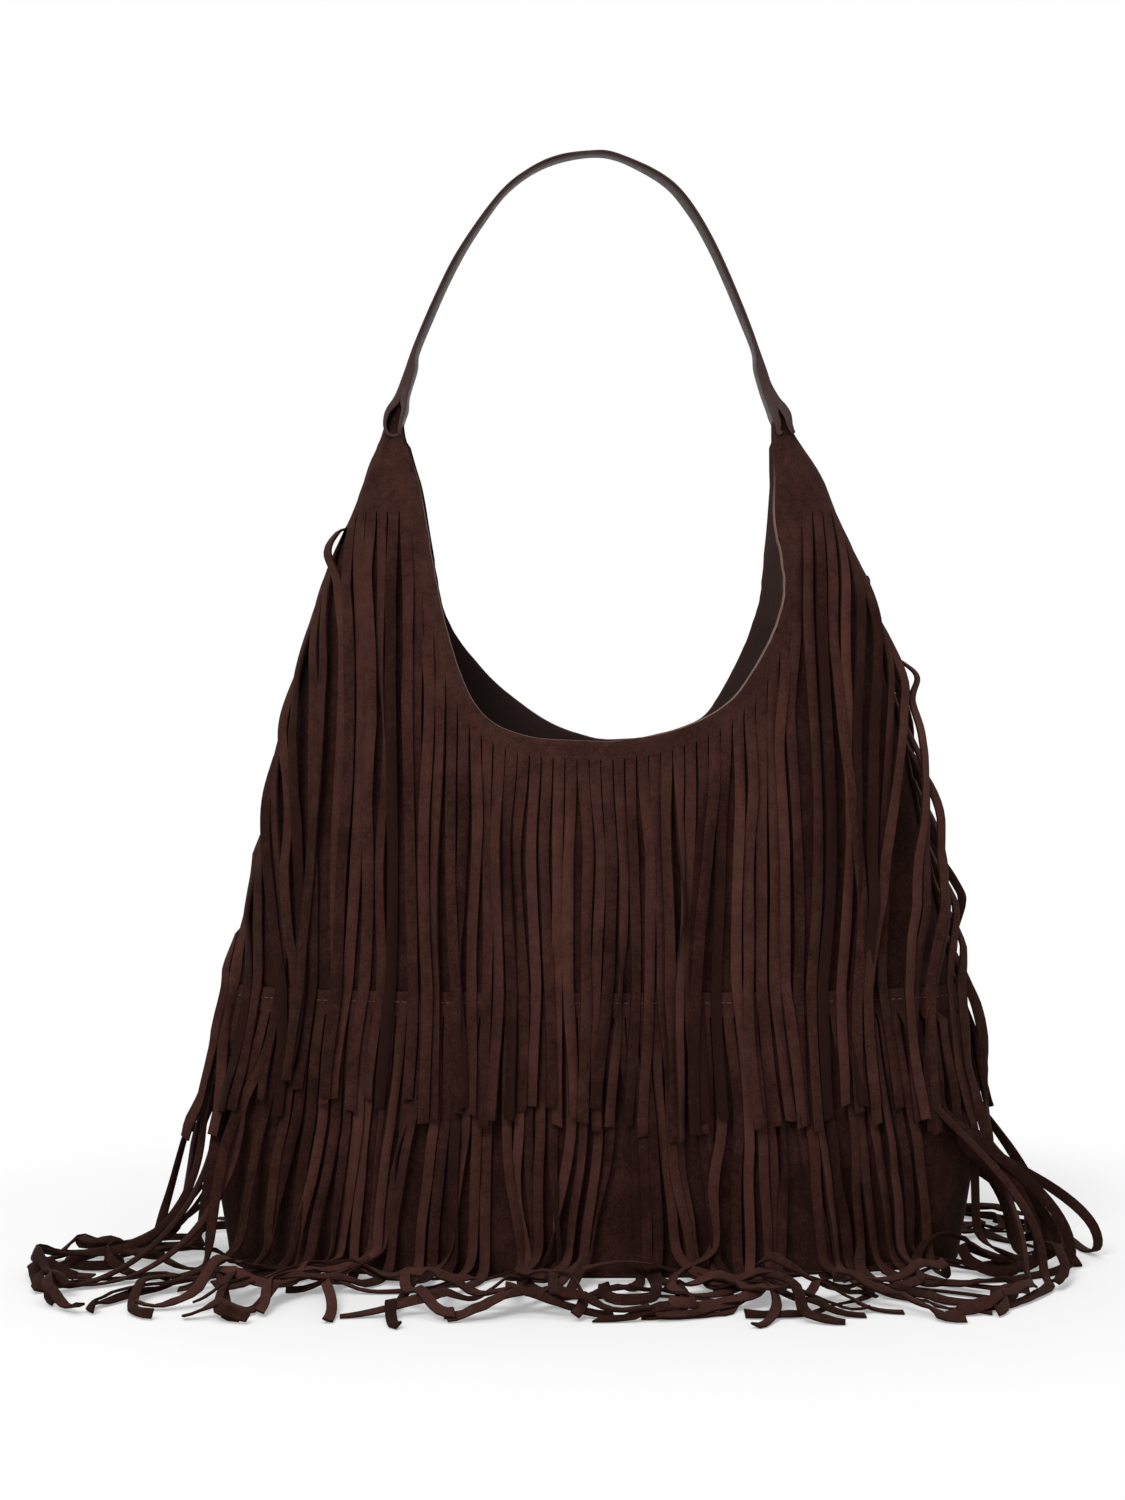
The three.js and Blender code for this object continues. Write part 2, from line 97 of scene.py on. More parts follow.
# The horns lean a little to the left below their tips, which follow the strap. Heights, and how far on the
# left and on the right.
LEAN_HEIGHTS = np.array([388, 400, 414, 423, 431]) * MM
LEAN = {
    -1: np.array([0, -1.5, -3.3, -2.6, -0.6]) * MM,
    1: np.array([0, -1.5, -3.3, -3.8, -6.6]) * MM,
}
# The folded tips reach this far up between the plies of the strap.
TONGUE = 8 * MM

# The upper edge of each face from its lowest point to the horn tip: height and distance from the middle, in
# millimetres.
RIM = {
    ("front", -1): [
        (260.5, -8), (261.2, 12), (262, 28), (265.2, 40.5), (269.7, 50.3), (276.6, 57.2), (285.4, 62.2),
        (296.2, 66.5), (308.8, 70.4), (320, 73.4), (329.5, 75.7), (349, 79.3), (364, 81.8), (379, 84.4),
        (389, 86.5), (399, 88.7), (409, 91.6), (423, 93.3),
    ],
    ("front", 1): [
        (260.5, 8), (261.8, 16), (263.4, 29.5), (266.9, 41.3), (270.8, 51), (277.1, 62.7), (285.4, 70.6),
        (296.1, 77.4), (307.8, 84.2), (321.4, 89.7), (334, 92.6), (349, 91), (369, 87.2), (379, 87.4),
        (394, 89), (409, 91), (423, 93.3),
    ],
    ("back", -1): [
        (259, -8), (259.6, -1), (264, 14), (269.1, 25.2), (279.4, 39.5), (289.6, 51.8), (310.1, 69),
        (325.3, 76.6), (349, 80.5), (379, 84.6), (399, 88.7), (423, 93.3),
    ],
    ("back", 1): [
        (259, 8), (259.8, 24), (264, 42), (270.2, 57.2), (289.7, 68.8), (310.1, 78.3), (330.4, 84.7),
        (360.6, 86.9), (394, 88.8), (423, 93.3),
    ],
}

# Foot of the walls, and their layers from the face of the body.
WALL_FOOT = 1.5 * MM
LINING_OUT = -1.5 * MM
LINING_THICKNESS = 0.6 * MM
PATCH_OUT = -2.4 * MM
YOKE_OUT = 0.9 * MM
RIM_DROP_OF_LINING = 0.3 * MM
PATCH_DROP = 1 * MM
# The sheets of the base: how far they end from the body's face, and their heights.
BASE_OUT = -0.2 * MM
BASE_GAP = 0.05 * MM
BASE_LINING_OUT = -2.4 * MM
BASE_LINING_HEIGHT = 1.8 * MM

# Fringe.
STRIP_PITCH = 5.8 * MM
STRIP_WIDTH = 5.25 * MM
RIM_MARGIN = 9 * MM
SIDE_MARGIN = 4 * MM
CAP_HEIGHT = HORN_HEIGHT - 50 * MM
BAND_WIDTH = 12 * MM
LOWER_LENGTH = 228 * MM
ROW_STEP = 4.2 * MM
LAYER_GAP = 0.25 * MM

# Lower edge of the upper tier on the front: distance from the middle, and height.
HEM_ALONG = (
    np.array([-200, -177, -160, -150, -138, -122, -92, -60, -30, 0, 25, 43, 73, 100, 128, 153, 178, 200]) * MM
)
HEM_HEIGHT = np.array([62, 70, 78, 104, 92, 85, 87, 81, 82, 78, 75, 70, 80, 71, 84, 76, 64, 56]) * MM

# How far the fringe stands off beside the seams on the left and on the right: heights and distances.
STAND_HEIGHTS = np.array([0, 59, 79, 99, 140, 180, 205, 262, 290, 310, 350, 372, 385]) * MM
STAND = {
    -1: np.array([30, 13, 5, 2, 0, 0.5, 2.5, 5.5, 6.5, 6.5, 4, 1, 0]) * MM,
    1: np.array([10, 8, 4, 3, 10, 19, 14, 14, 15, 13, 9.5, 8, 0]) * MM,
}

# Room that the fringe may take on the floor: to the left and to the right, by the distance in front of the
# middle or behind it, and to the front and back.
ROOM_DEPTHS = np.array([0, 55, 78, 99, 120, 141, 160, 180]) * MM
ROOM_LEFT = np.array([284, 276, 270, 262, 258, 215, 160, 100]) * MM
ROOM_RIGHT = np.array([252, 246, 224, 208, 192, 170, 150, 80]) * MM
REACH_Y = 176 * MM

SECTION_STEP = 2 * MM
ARC_STEPS = 128


def length_property(name, description, default):
    return bpy.props.FloatProperty(name=name, description=description, default=default, unit="LENGTH")


class BagSizes(bpy.types.PropertyGroup):
    """Sizes that can be changed by themselves."""

    suede: length_property("Suede", "Thickness of the suede of the body and the fringe", 1.2 * MM)
    strap_leather: length_property("Strap leather", "Thickness of one ply of the strap", 1.1 * MM)
    strap_width: length_property("Strap width", "Width of the strap from front to back", 13 * MM)
    thread: length_property("Thread", "Thickness of the sewing thread", 0.45 * MM)
    stitch_pitch: length_property("Stitch pitch", "Distance from one stitch to the next", 3.6 * MM)


def colour_property(name, description, default):
    return bpy.props.FloatVectorProperty(
        name=name,
        description=description,
        subtype="COLOR",
        size=4,
        min=0,
        max=1,
        default=(*default, 1),
    )


class BagColours(bpy.types.PropertyGroup):
    """Colours of the bag's materials."""

    # The blend between the raised and the flat nap also carries painted shade, through the tone mark of the
    # pieces.
    suede_light: colour_property("Suede, raised nap", "Where the nap stands up", (0.064, 0.0245, 0.0185))
    suede_dark: colour_property("Suede, flat nap", "Where the nap is brushed flat", (0.0145, 0.0048, 0.0034))
    # The cut edges are painted darker than the suede's face, as shade for the gaps between the strips.
    cut_edge: colour_property("Cut edge", "Raw edge of a strip", (0.019, 0.0072, 0.0054))
    rim_edge: colour_property("Rim edge", "Painted edge of the rim", (0.15, 0.098, 0.085))
    inside: colour_property("Inside", "Inner face and closure patches", (0.04, 0.0225, 0.0195))
    strap: colour_property("Strap leather", "Smooth leather of the strap", (0.028, 0.0155, 0.0145))
    strap_edge: colour_property("Strap edge", "Cut edge of the strap's plies", (0.037, 0.0205, 0.0195))
    thread_pale: colour_property("Pale thread", "Thread of the bands", (0.13, 0.075, 0.055))
    thread_dark: colour_property("Dark thread", "Thread of the rim and the patches", (0.012, 0.006, 0.005))
    floor: colour_property("Floor", "Floor under the bag", (0.86, 0.86, 0.86))


def half_sections():
    """Tables of one half of the body's sections: x, y and the outward direction at even steps of length."""
    heights = np.arange(0, HORN_HEIGHT + SECTION_STEP, SECTION_STEP)
    angle = np.linspace(0, math.pi / 2, 361)
    across = np.sin(angle) ** (2 / ROUNDNESS)
    deep = np.clip(np.cos(angle), 0, 1) ** (2 / ROUNDNESS)
    deep[-1] = 0
    rows = {name: [] for name in ("x", "y", "out_x", "out_y", "length")}
    for height in heights:
        share = height / HORN_HEIGHT
        near = share + np.array([-LEVEL_BLUR, 0, LEVEL_BLUR])
        width, depth, flat = (np.interp(near, BODY_LEVELS[:, 0], BODY_LEVELS[:, k]).mean() for k in (1, 2, 3))
        width *= BODY_HALF_WIDTH
        depth *= BODY_HALF_DEPTH
        flat *= width
        x = np.concatenate([[0], flat + (width - flat) * across])
        y = np.concatenate([[depth], depth * deep])
        run = np.concatenate([[0], np.cumsum(np.hypot(np.diff(x), np.diff(y)))])
        even = np.linspace(0, run[-1], ARC_STEPS + 1)
        even_x = np.interp(even, run, x)
        even_y = np.interp(even, run, y)
        out_x = -np.gradient(even_y)
        out_y = np.gradient(even_x)
        size = np.hypot(out_x, out_y)
        for name, values in zip(rows, (even_x, even_y, out_x / size, out_y / size, run[-1])):
            rows[name].append(values)
    return {name: np.array(values) for name, values in rows.items()}


SECTIONS = half_sections()
TABLE_HEIGHTS = np.arange(len(SECTIONS["length"])) * SECTION_STEP


def half_length(z):
    """Length of the section from the middle line to the side seam."""
    return np.interp(z, TABLE_HEIGHTS, SECTIONS["length"])


def look_up(name, row, share):
    """Value of a section table between its steps."""
    table = SECTIONS[name]
    i = np.clip(np.floor(row).astype(int), 0, len(table) - 2)
    j = np.clip(np.floor(share).astype(int), 0, ARC_STEPS - 1)
    f = np.clip(row - i, 0, 1)
    g = np.clip(share - j, 0, 1)
    low = table[i, j] * (1 - g) + table[i, j + 1] * g
    high = table[i + 1, j] * (1 - g) + table[i + 1, j + 1] * g
    return low * (1 - f) + high * f


def body_frame(side, along, z):
    """Points on the body's face, with the outward direction and the direction in which along grows."""
    along, z = np.broadcast_arrays(np.asarray(along, float), np.asarray(z, float))
    row = z / SECTION_STEP
    share = np.clip(np.abs(along) / half_length(z), 0, 1) * ARC_STEPS
    sign = np.where(along < 0, -1.0, 1.0)
    lean = np.where(along < 0, np.interp(z, LEAN_HEIGHTS, LEAN[-1]), np.interp(z, LEAN_HEIGHTS, LEAN[1]))
    x = sign * look_up("x", row, share) + lean
    y = side * look_up("y", row, share)
    out = np.stack([sign * look_up("out_x", row, share), side * look_up("out_y", row, share)], -1)
    out /= np.linalg.norm(out, axis=-1, keepdims=True)
    zero = np.zeros_like(z)
    point = np.stack([x, y, z], -1)
    outward = np.stack([out[..., 0], out[..., 1], zero], -1)
    across = np.stack([side * out[..., 1], -side * out[..., 0], zero], -1)
    if side == SIDES["front"]:
        point = point + outward * rim_flare(along, z)[..., None]
    return point, outward, across


# The rim of the front turns outwards over this width, by so much on the left and at the lowest point, and by
# more on the right. This fades out up the horns.
FLARE_WIDTH = 11 * MM
FLARE = 1.3 * MM
FLARE_RIGHT = 3.4 * MM
FLARE_END = 400 * MM
FLARE_FADE = 30 * MM


def rim_flare(along, z):
    """How far the front's face bends outwards beside its rim."""
    if not RIM_LINE:
        outline = upper_outline("front")
        RIM_LINE.append(outline[outline[:, 2] == RIM_MARGIN, :2])
    line = RIM_LINE[0]
    off = np.hypot(along[..., None] - line[:, 0], z[..., None] - line[:, 1]).min(axis=-1)
    amount = np.interp(along, np.array([20, 60]) * MM, [FLARE, FLARE_RIGHT])
    fade = smooth_step((FLARE_END - z) / FLARE_FADE)
    return amount * fade * np.clip(1 - off / FLARE_WIDTH, 0, 1) ** 2


# The upper edge of the front, found when it is first asked for.
RIM_LINE = []


def on_body(side, along, z, out):
    point, outward, _ = body_frame(side, along, z)
    return point + outward * np.asarray(out)[..., None]


def smooth_step(value):
    value = np.clip(value, 0, 1)
    return value * value * (3 - 2 * value)


def along_of_x(z, x):
    """Distance along the section at a distance x from the middle."""
    row = int(round(z / SECTION_STEP))
    table = SECTIONS["x"][min(row, len(SECTIONS["x"]) - 1)]
    share = np.interp(x, table, np.arange(ARC_STEPS + 1)) / ARC_STEPS
    return share * half_length(z)


RIM_BLUR = 5 * MM


def rim_along(face, sign, z):
    """Signed distance along the face from its middle line to the rim, at heights on one side."""
    rows = np.array(RIM[face, sign]) * MM
    z = np.atleast_1d(z)
    # The mean of a few heights takes the corners out of the line. They are closer together where it is level.
    spread = np.minimum(RIM_BLUR, 0.3 * (z - rows[0, 0]))
    x = np.mean([np.interp(z + k * spread, rows[:, 0], rows[:, 1]) for k in (-1, -0.5, 0, 0.5, 1)], axis=0)
    return np.array([sign * np.sign(v) * along_of_x(h, abs(v)) for h, v in zip(z, x)])


# Points of an upper edge: on each half of the rim, on each seam and on each tip.
RIM_POINTS = 140
SEAM_POINTS = 160
TIP_POINTS = 6


def upper_outline(face):
    """The upper edge of a face in along and height: up the left seam, over the horns and down the right seam.

    The third column is the margin that the slits of the fringe keep from that edge.
    """
    low = RIM[face, 1][0][0] * MM
    # The heights are closer together where the rim runs nearly level.
    rise = np.linspace(0, 1, RIM_POINTS) ** 2
    heights = low + (HORN_HEIGHT - low) * rise
    seam_heights = np.linspace(WIDEST, HORN_HEIGHT, SEAM_POINTS)
    parts = []
    for sign in (-1, 1):
        rim = np.stack([rim_along(face, sign, heights), heights, np.full(RIM_POINTS, RIM_MARGIN)], -1)
        seam = [sign * half_length(seam_heights), seam_heights, np.full(SEAM_POINTS, SIDE_MARGIN)]
        seam = np.stack(seam, -1)
        tip = np.linspace(rim[-1, 0], seam[-1, 0], TIP_POINTS + 2)[1:-1]
        tip = np.stack([tip, np.full(TIP_POINTS, HORN_HEIGHT), np.full(TIP_POINTS, SIDE_MARGIN)], -1)
        parts.append((rim, tip, seam))
    (left_rim, left_tip, left_seam), (right_rim, right_tip, right_seam) = parts
    return np.concatenate(
        [left_seam, left_tip[::-1], left_rim[::-1], right_rim[1:], right_tip, right_seam[::-1]]
    )


def run_along(line):
    """Distances along a line from its first point."""
    return np.concatenate([[0], np.cumsum(np.linalg.norm(np.diff(line, axis=0), axis=1))])


def points_at(wanted, run, line):
    """Points of a line where the distance along it has the wanted values."""
    return np.stack([np.interp(wanted, run, line[:, k]) for k in range(line.shape[1])], -1)


def tangents(line):
    way = np.gradient(line, axis=0)
    return way / np.linalg.norm(way, axis=1, keepdims=True)


def direction(heading):
    return np.array([math.cos(heading), math.sin(heading)])


def horn_tips(outline):
    """Which points of an upper edge lie on the left and on the right horn's tip."""
    tips = np.flatnonzero(outline[:, 1] >= HORN_HEIGHT - 1e-9)
    split = np.flatnonzero(np.diff(tips) > 1)[0] + 1
    return tips[:split], tips[split:]


def new_object(name, mesh):
    obj = bpy.data.objects.new(name, mesh)
    bpy.context.scene.collection.objects.link(obj)
    return obj


def mesh_object(name, points, faces, **marks):
    """An object with a smooth mesh. Each mark, such as a tone, is one number for every point."""
    mesh = bpy.data.meshes.new(name)
    mesh.from_pydata([tuple(p) for p in points], [], faces)
    for mark, values in marks.items():
        layer = mesh.attributes.new(mark, "FLOAT", "POINT")
        layer.data.foreach_set("value", np.broadcast_to(values, len(points)).astype(np.float32))
    mesh.polygons.foreach_set("use_smooth", [True] * len(mesh.polygons))
    mesh.update()
    return new_object(name, mesh)


def thicken(obj, thickness, round_edge=0.25 * MM):
    """Gives a middle surface its thickness and rounds its cut edges."""
    solid = obj.modifiers.new("Thickness", "SOLIDIFY")
    solid.thickness = thickness
    solid.offset = 0
    solid.use_quality_normals = True
    solid.material_offset_rim = 1
    edge = obj.modifiers.new("Cut edge", "BEVEL")
    edge.width = round_edge
    edge.segments = 1
    edge.limit_method = "ANGLE"
    edge.angle_limit = math.radians(50)
    edge.use_clamp_overlap = True


def settle(obj, slot, *nodes):
    """The piece rides on the body and stands for its nodes, which it hides. The slot is not used."""
    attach(obj, "root")
    if nodes:
        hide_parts(*nodes)


# Sockets of a mix node that take and give colours.
MIX_FACTOR, MIX_FIRST, MIX_SECOND, MIX_RESULT = 0, 6, 7, 2


class Nodes:
    """A tree of shader nodes, emptied, with short ways to add and join nodes."""

    def __init__(self, tree):
        self.tree = tree
        tree.nodes.clear()

    def add(self, kind, inputs=(), **settings):
        """A node with its settings. Each input is the output of another node or a value."""
        node = self.tree.nodes.new(kind)
        for key, value in settings.items():
            setattr(node, key, value)
        for name, value in dict(inputs).items():
            self.feed(node, name, value)
        return node

    def feed(self, node, name, value):
        if isinstance(value, bpy.types.NodeSocket):
            self.tree.links.new(value, node.inputs[name])
        else:
            node.inputs[name].default_value = value

    def math(self, operation, first, second):
        return self.add("ShaderNodeMath", {0: first, 1: second}, operation=operation).outputs["Value"]


class Finish(Nodes):
    """A new material with its surface shader."""

    def __init__(self, name):
        self.material = bpy.data.materials.new(name)
        self.material.use_nodes = True
        super().__init__(self.material.node_tree)
        self.shader = self.add("ShaderNodeBsdfPrincipled")
        self.output = self.add("ShaderNodeOutputMaterial", {"Surface": self.shader.outputs["BSDF"]})
        self.place = self.add("ShaderNodeTexCoord").outputs["Object"]

    def mark(self, name):
        return self.add("ShaderNodeAttribute", attribute_name=name).outputs["Fac"]

    def noise(self, size, detail=2.0, roughness=0.5):
        """Noise whose spots are about so large, in metres."""
        inputs = {"Vector": self.place, "Scale": 1 / size, "Detail": detail, "Roughness": roughness}
        return self.add("ShaderNodeTexNoise", inputs).outputs["Fac"]

    def bands(self, way, width, distortion=0.0):
        """Light and dark bands across a direction."""
        inputs = {"Vector": self.place, "Scale": 1 / width, "Distortion": distortion}
        return self.add("ShaderNodeTexWave", inputs, bands_direction=way).outputs["Fac"]

    def spread(self, value, to_low=0.0, to_high=1.0, low=0.3, high=0.7):
        """Maps a value from low and high, between which most noise lies, to another range."""
        inputs = {"Value": value, "From Min": low, "From Max": high, "To Min": to_low, "To Max": to_high}
        return self.add("ShaderNodeMapRange", inputs).outputs["Result"]

    def blend(self, factor, first, second):
        inputs = {MIX_FACTOR: factor, MIX_FIRST: first, MIX_SECOND: second}
        return self.add("ShaderNodeMix", inputs, data_type="RGBA").outputs[MIX_RESULT]

    def bump(self, height, distance, strength):
        inputs = {"Height": height, "Distance": distance, "Strength": strength}
        self.set(Normal=self.add("ShaderNodeBump", inputs).outputs["Normal"])

    def set(self, **inputs):
        for name, value in inputs.items():
            self.feed(self.shader, name.replace("_", " "), value)


def shaded(colour, share):
    """A colour times a share, which is lighter above 1."""
    return tuple(c * share for c in colour[:3]) + (1,)


def suede_material(name, light, dark, sheen, rim=None):
    """Brushed suede: fine nap, soft clouds where it lies another way, and a tone for each strip, which also
    carries painted shade.
    """
    made = Finish(name)
    nap = made.noise(0.8 * MM, 3, 0.7)
    cloud = made.noise(15 * MM, 3, 0.6)
    streak = made.noise(3.5 * MM, 2, 0.5)
    tone = made.mark("tone")
    grain = made.spread(nap, -0.26, 0.26)
    clouds = made.spread(cloud, -0.17, 0.17)
    streaks = made.spread(streak, -0.1, 0.1)
    level = made.math("ADD", made.math("ADD", grain, clouds), made.math("ADD", streaks, tone))
    level.node.use_clamp = True
    colour = made.blend(level, dark, light)
    if rim is not None:
        colour = made.blend(made.mark("rim"), colour, rim)
    made.bump(made.math("ADD", nap, made.math("MULTIPLY", streak, 0.6)), 0.35 * MM, 0.6)
    made.set(Base_Color=colour, Roughness=0.95, Specular_IOR_Level=0.06)
    made.set(Sheen_Weight=sheen, Sheen_Roughness=0.5, Sheen_Tint=(0.8, 0.55, 0.45, 1))
    return made.material


def lining_material(colour):
    """Plain woven lining: crossed fine threads over a dark ground."""
    made = Finish("lining_weave")
    weave = made.math("MULTIPLY", made.bands("X", 4 * MM, 0.6), made.bands("Z", 4 * MM, 0.6))
    cloud = made.spread(made.noise(30 * MM), 0.0, 0.6)
    darker = shaded(colour, 0.25)
    # The tone mark darkens the lining as painted shade, most at the left of the inner faces.
    tone = made.mark("tone")
    level = made.math("ADD", made.math("MULTIPLY", weave, 0.3), made.math("MULTIPLY", cloud, tone))
    level = made.math("ADD", level, made.math("MULTIPLY", tone, 0.4))
    level.node.use_clamp = True
    made.bump(weave, 0.15 * MM, 0.4)
    made.set(Base_Color=made.blend(level, darker, colour), Roughness=0.85, Specular_IOR_Level=0.1)
    return made.material


def leather_material(colour, edge):
    """Smooth leather with a fine grain and a soft sheen, a little lighter on its cut edges."""
    made = Finish("smooth_leather")
    cloud = made.noise(9 * MM, 3, 0.6)
    lighter = shaded(colour, 1.5)
    face = made.blend(made.spread(cloud), colour, lighter)
    made.bump(made.noise(0.9 * MM, 3, 0.6), 0.08 * MM, 0.3)
    made.set(Base_Color=made.blend(made.mark("edge"), face, edge), Specular_IOR_Level=0.09)
    made.set(Roughness=made.spread(made.noise(3 * MM), 0.4, 0.55))
    return made.material


def thread_material(name, colour):
    """Twisted sewing thread."""
    made = Finish(name)
    twist = made.bands("DIAGONAL", 1.6 * MM)
    made.bump(twist, 0.1 * MM, 0.5)
    darker = shaded(colour, 0.55)
    made.set(Base_Color=made.blend(twist, darker, colour), Roughness=0.7, Specular_IOR_Level=0.3)
    return made.material


def material(name):
    """The named finish, made when it is first asked for."""
    found = bpy.data.materials.get(name)
    if found:
        return found
    colours = bpy.context.scene.bag_colours
    light, dark = tuple(colours.suede_light), tuple(colours.suede_dark)
    inside = tuple(colours.inside)
    if name == "brushed_suede":
        return suede_material(name, light, dark, 0.03)
    # Cut edges painted dark as shade, with the rim's lighter edge paint.
    if name == "raw_edge":
        return suede_material(name, tuple(colours.cut_edge), dark, 0.0, tuple(colours.rim_edge))
    if name == "inner_suede":
        return suede_material(name, inside, shaded(inside, 0.6), 0.03)
    if name == "lining_weave":
        return lining_material(inside)
    if name == "smooth_leather":
        return leather_material(tuple(colours.strap), tuple(colours.strap_edge))
    return thread_material(name, tuple(getattr(colours, name)))


def dress(obj, *names):
    for name in names:
        obj.data.materials.append(material(name))


def polygon_area(points):
    x, y = np.asarray(points)[:, 0], np.asarray(points)[:, 1]
    return abs(np.dot(x, np.roll(y, -1)) - np.dot(y, np.roll(x, -1))) / 2


WALL_COLUMNS = 60
TIP_COLUMNS = 3
WALL_ROWS = 54


def wall_grid(face, rim_drop):
    """Distances along and heights of a wall of the body, from its foot up to the rim and the horns."""
    outline = upper_outline(face)
    left_tip, right_tip = horn_tips(outline)
    rim = outline[left_tip[-1] : right_tip[0] + 1, :2]
    run = run_along(rim)
    rim = points_at(np.linspace(0, run[-1], 2 * WALL_COLUMNS + 1), run, rim)
    ends = []
    for tip, order in ((left_tip, 1), (right_tip, -1)):
        outer, inner = outline[tip[::order][[0, -1]], 0]
        steps = np.linspace(outer, inner, TIP_COLUMNS + 1)[:-1]
        end = np.stack([steps, np.full(TIP_COLUMNS, HORN_HEIGHT)], -1)
        ends.append(end[::order])
    top = np.concatenate([ends[0], rim, ends[1]])
    foot_share = np.linspace(-1, 1, len(top))
    top_share = top[:, 0] / half_length(top[:, 1])
    rise = np.linspace(0, 1, WALL_ROWS + 1)[None, :]
    z = WALL_FOOT + (top[:, 1:] - WALL_FOOT - rim_drop) * rise
    share = foot_share[:, None] + (top_share - foot_share)[:, None] * rise
    return share * half_length(z), z


def grid_faces(columns, rows, flip):
    """Faces of a grid of points, column after column."""
    starts = [i * rows + j for i in range(columns - 1) for j in range(rows - 1)]
    quads = [(a, a + rows, a + rows + 1, a + 1) for a in starts]
    return [quad[::-1] for quad in quads] if flip else quads


def tube_faces(first, rings, sides):
    """Faces of a closed tube whose rings of points follow one another from the first point on."""
    faces = []
    last = first + (rings - 1) * sides
    for start in range(first, last, sides):
        for k in range(sides):
            a, b = start + k, start + (k + 1) % sides
            faces.append((a, b, b + sides, a + sides))
    faces.append(tuple(range(first, first + sides))[::-1])
    faces.append(tuple(range(last, last + sides)))
    return faces


def sag(along, z, depth):
    """Soft hollows and swellings of a wall that carries nothing."""
    wide = np.sin(along / (47 * MM) + 1.3) * np.sin(z / (61 * MM) + 0.4)
    small = np.sin(along / (19 * MM) + z / (33 * MM)) * np.sin(z / (23 * MM))
    rim = smooth_step((z - 200 * MM) / (60 * MM))
    return depth * (0.7 * wide + 0.3 * small) * (1 - 0.75 * rim)


def rim_mark(z):
    """The painted edge of the rim is lighter than a raw one, and fades out up the horns."""
    return np.interp(z, np.array([375, 400]) * MM, [1, 0.15])


# How deep the walls sag, the tone of the panels, painted dark as shade because they show only in the gaps
# between strips, and where the painted shade at the left of the inner faces begins to fade and over which
# distance it does.
SAG = 0.6 * MM
PANEL_SHADE_TONE = 0.15
SHADE_FROM = -80 * MM
SHADE_OVER = 130 * MM


def wall(name, face, out, thickness, rim_drop):
    """A panel or its lining as one sheet."""
    side = SIDES[face]
    along, z = wall_grid(face, rim_drop)
    points = on_body(side, along, z, out + sag(along, z, -SAG))
    faces = grid_faces(*along.shape, flip=side > 0)
    # The panels are painted darker than the fringe as shade, and the inner faces get painted shade towards
    # the left.
    tone = PANEL_SHADE_TONE
    if out < LINING_OUT / 2:
        tone = 0.1 + 0.9 * smooth_step((points[..., 0].reshape(-1) - SHADE_FROM) / SHADE_OVER)
    obj = mesh_object(name, points.reshape(-1, 3), faces, tone=tone, rim=rim_mark(z.reshape(-1)))
    thicken(obj, thickness, min(0.3 * thickness, 0.3 * MM))
    return obj


# How many places across a strip are looked up in the layers.
LAYER_SAMPLES = 9


class Layers:
    """How high the strips already lie over a face, on an even grid, so that each new one lies over them."""

    def __init__(self, low, high, cell):
        self.low = np.array(low)
        self.cell = np.array(cell)
        size = np.ceil((np.array(high) - self.low) / self.cell).astype(int) + 1
        self.height = np.zeros(size)

    def cells(self, centre, across, half_width):
        steps = np.linspace(-1, 1, LAYER_SAMPLES)[None, :, None] * half_width
        spots = centre[:, None, :] + across[:, None, :] * steps
        index = np.round((spots - self.low) / self.cell).astype(int)
        index = np.clip(index, 0, np.array(self.height.shape) - 1)
        return index[..., 0], index[..., 1]

    def under(self, centre, across, half_width):
        i, j = self.cells(centre, across, half_width)
        return self.height[i, j].max(axis=1)

    def cover(self, centre, across, half_width, top):
        fine = np.repeat(np.arange(len(centre) - 1), 4) + np.tile(np.arange(4) / 4, len(centre) - 1)
        whole = np.arange(len(centre))
        centre = points_at(fine, whole, centre)
        across = points_at(fine, whole, across)
        top = np.interp(fine, whole, top)
        i, j = self.cells(centre, across, half_width)
        np.maximum.at(self.height, (i, j), np.repeat(top[:, None], LAYER_SAMPLES, axis=1))


def pressed(height, cap):
    """A pile of strips presses itself together towards a greatest height."""
    return cap * np.tanh(height / cap)


def drape_over(needed, run, slope):
    """The lowest line over all the needed heights that nowhere is steeper than the slope."""
    reach = needed[None, :] - slope * np.abs(run[None, :] - run[:, None])
    line = reach.max(axis=1)
    for _ in range(2):
        padded = np.concatenate([line[:1], line, line[-1:]])
        line = np.maximum(0.25 * padded[:-2] + 0.5 * padded[1:-1] + 0.25 * padded[2:], needed)
    return line


def strip_middles():
    count = int(2 * half_length(BAND_HEIGHT) / STRIP_PITCH)
    return (np.arange(count) - (count - 1) / 2) * STRIP_PITCH


def clumps(rng, middles):
    """Strips hang together in groups of 2 to 6. The centre of each strip's group, and how the group leans."""
    centres = np.zeros(len(middles))
    leans = np.zeros(len(middles))
    i = 0
    while i < len(middles):
        size = int(rng.integers(2, 7))
        centres[i : i + size] = middles[i : i + size].mean()
        leans[i : i + size] = rng.normal()
        i += size
    return centres, leans


def slit_starts(face, middles):
    """Heights at which the slits of the upper tier start."""
    outline = upper_outline(face)
    starts = []
    for middle in middles:
        off = outline[:, 0] - middle
        near = np.flatnonzero(np.abs(off) < outline[:, 2])
        height = outline[near, 1] - np.sqrt(outline[near, 2] ** 2 - off[near] ** 2)
        starts.append(min(height.min(), CAP_HEIGHT))
    return np.array(starts)


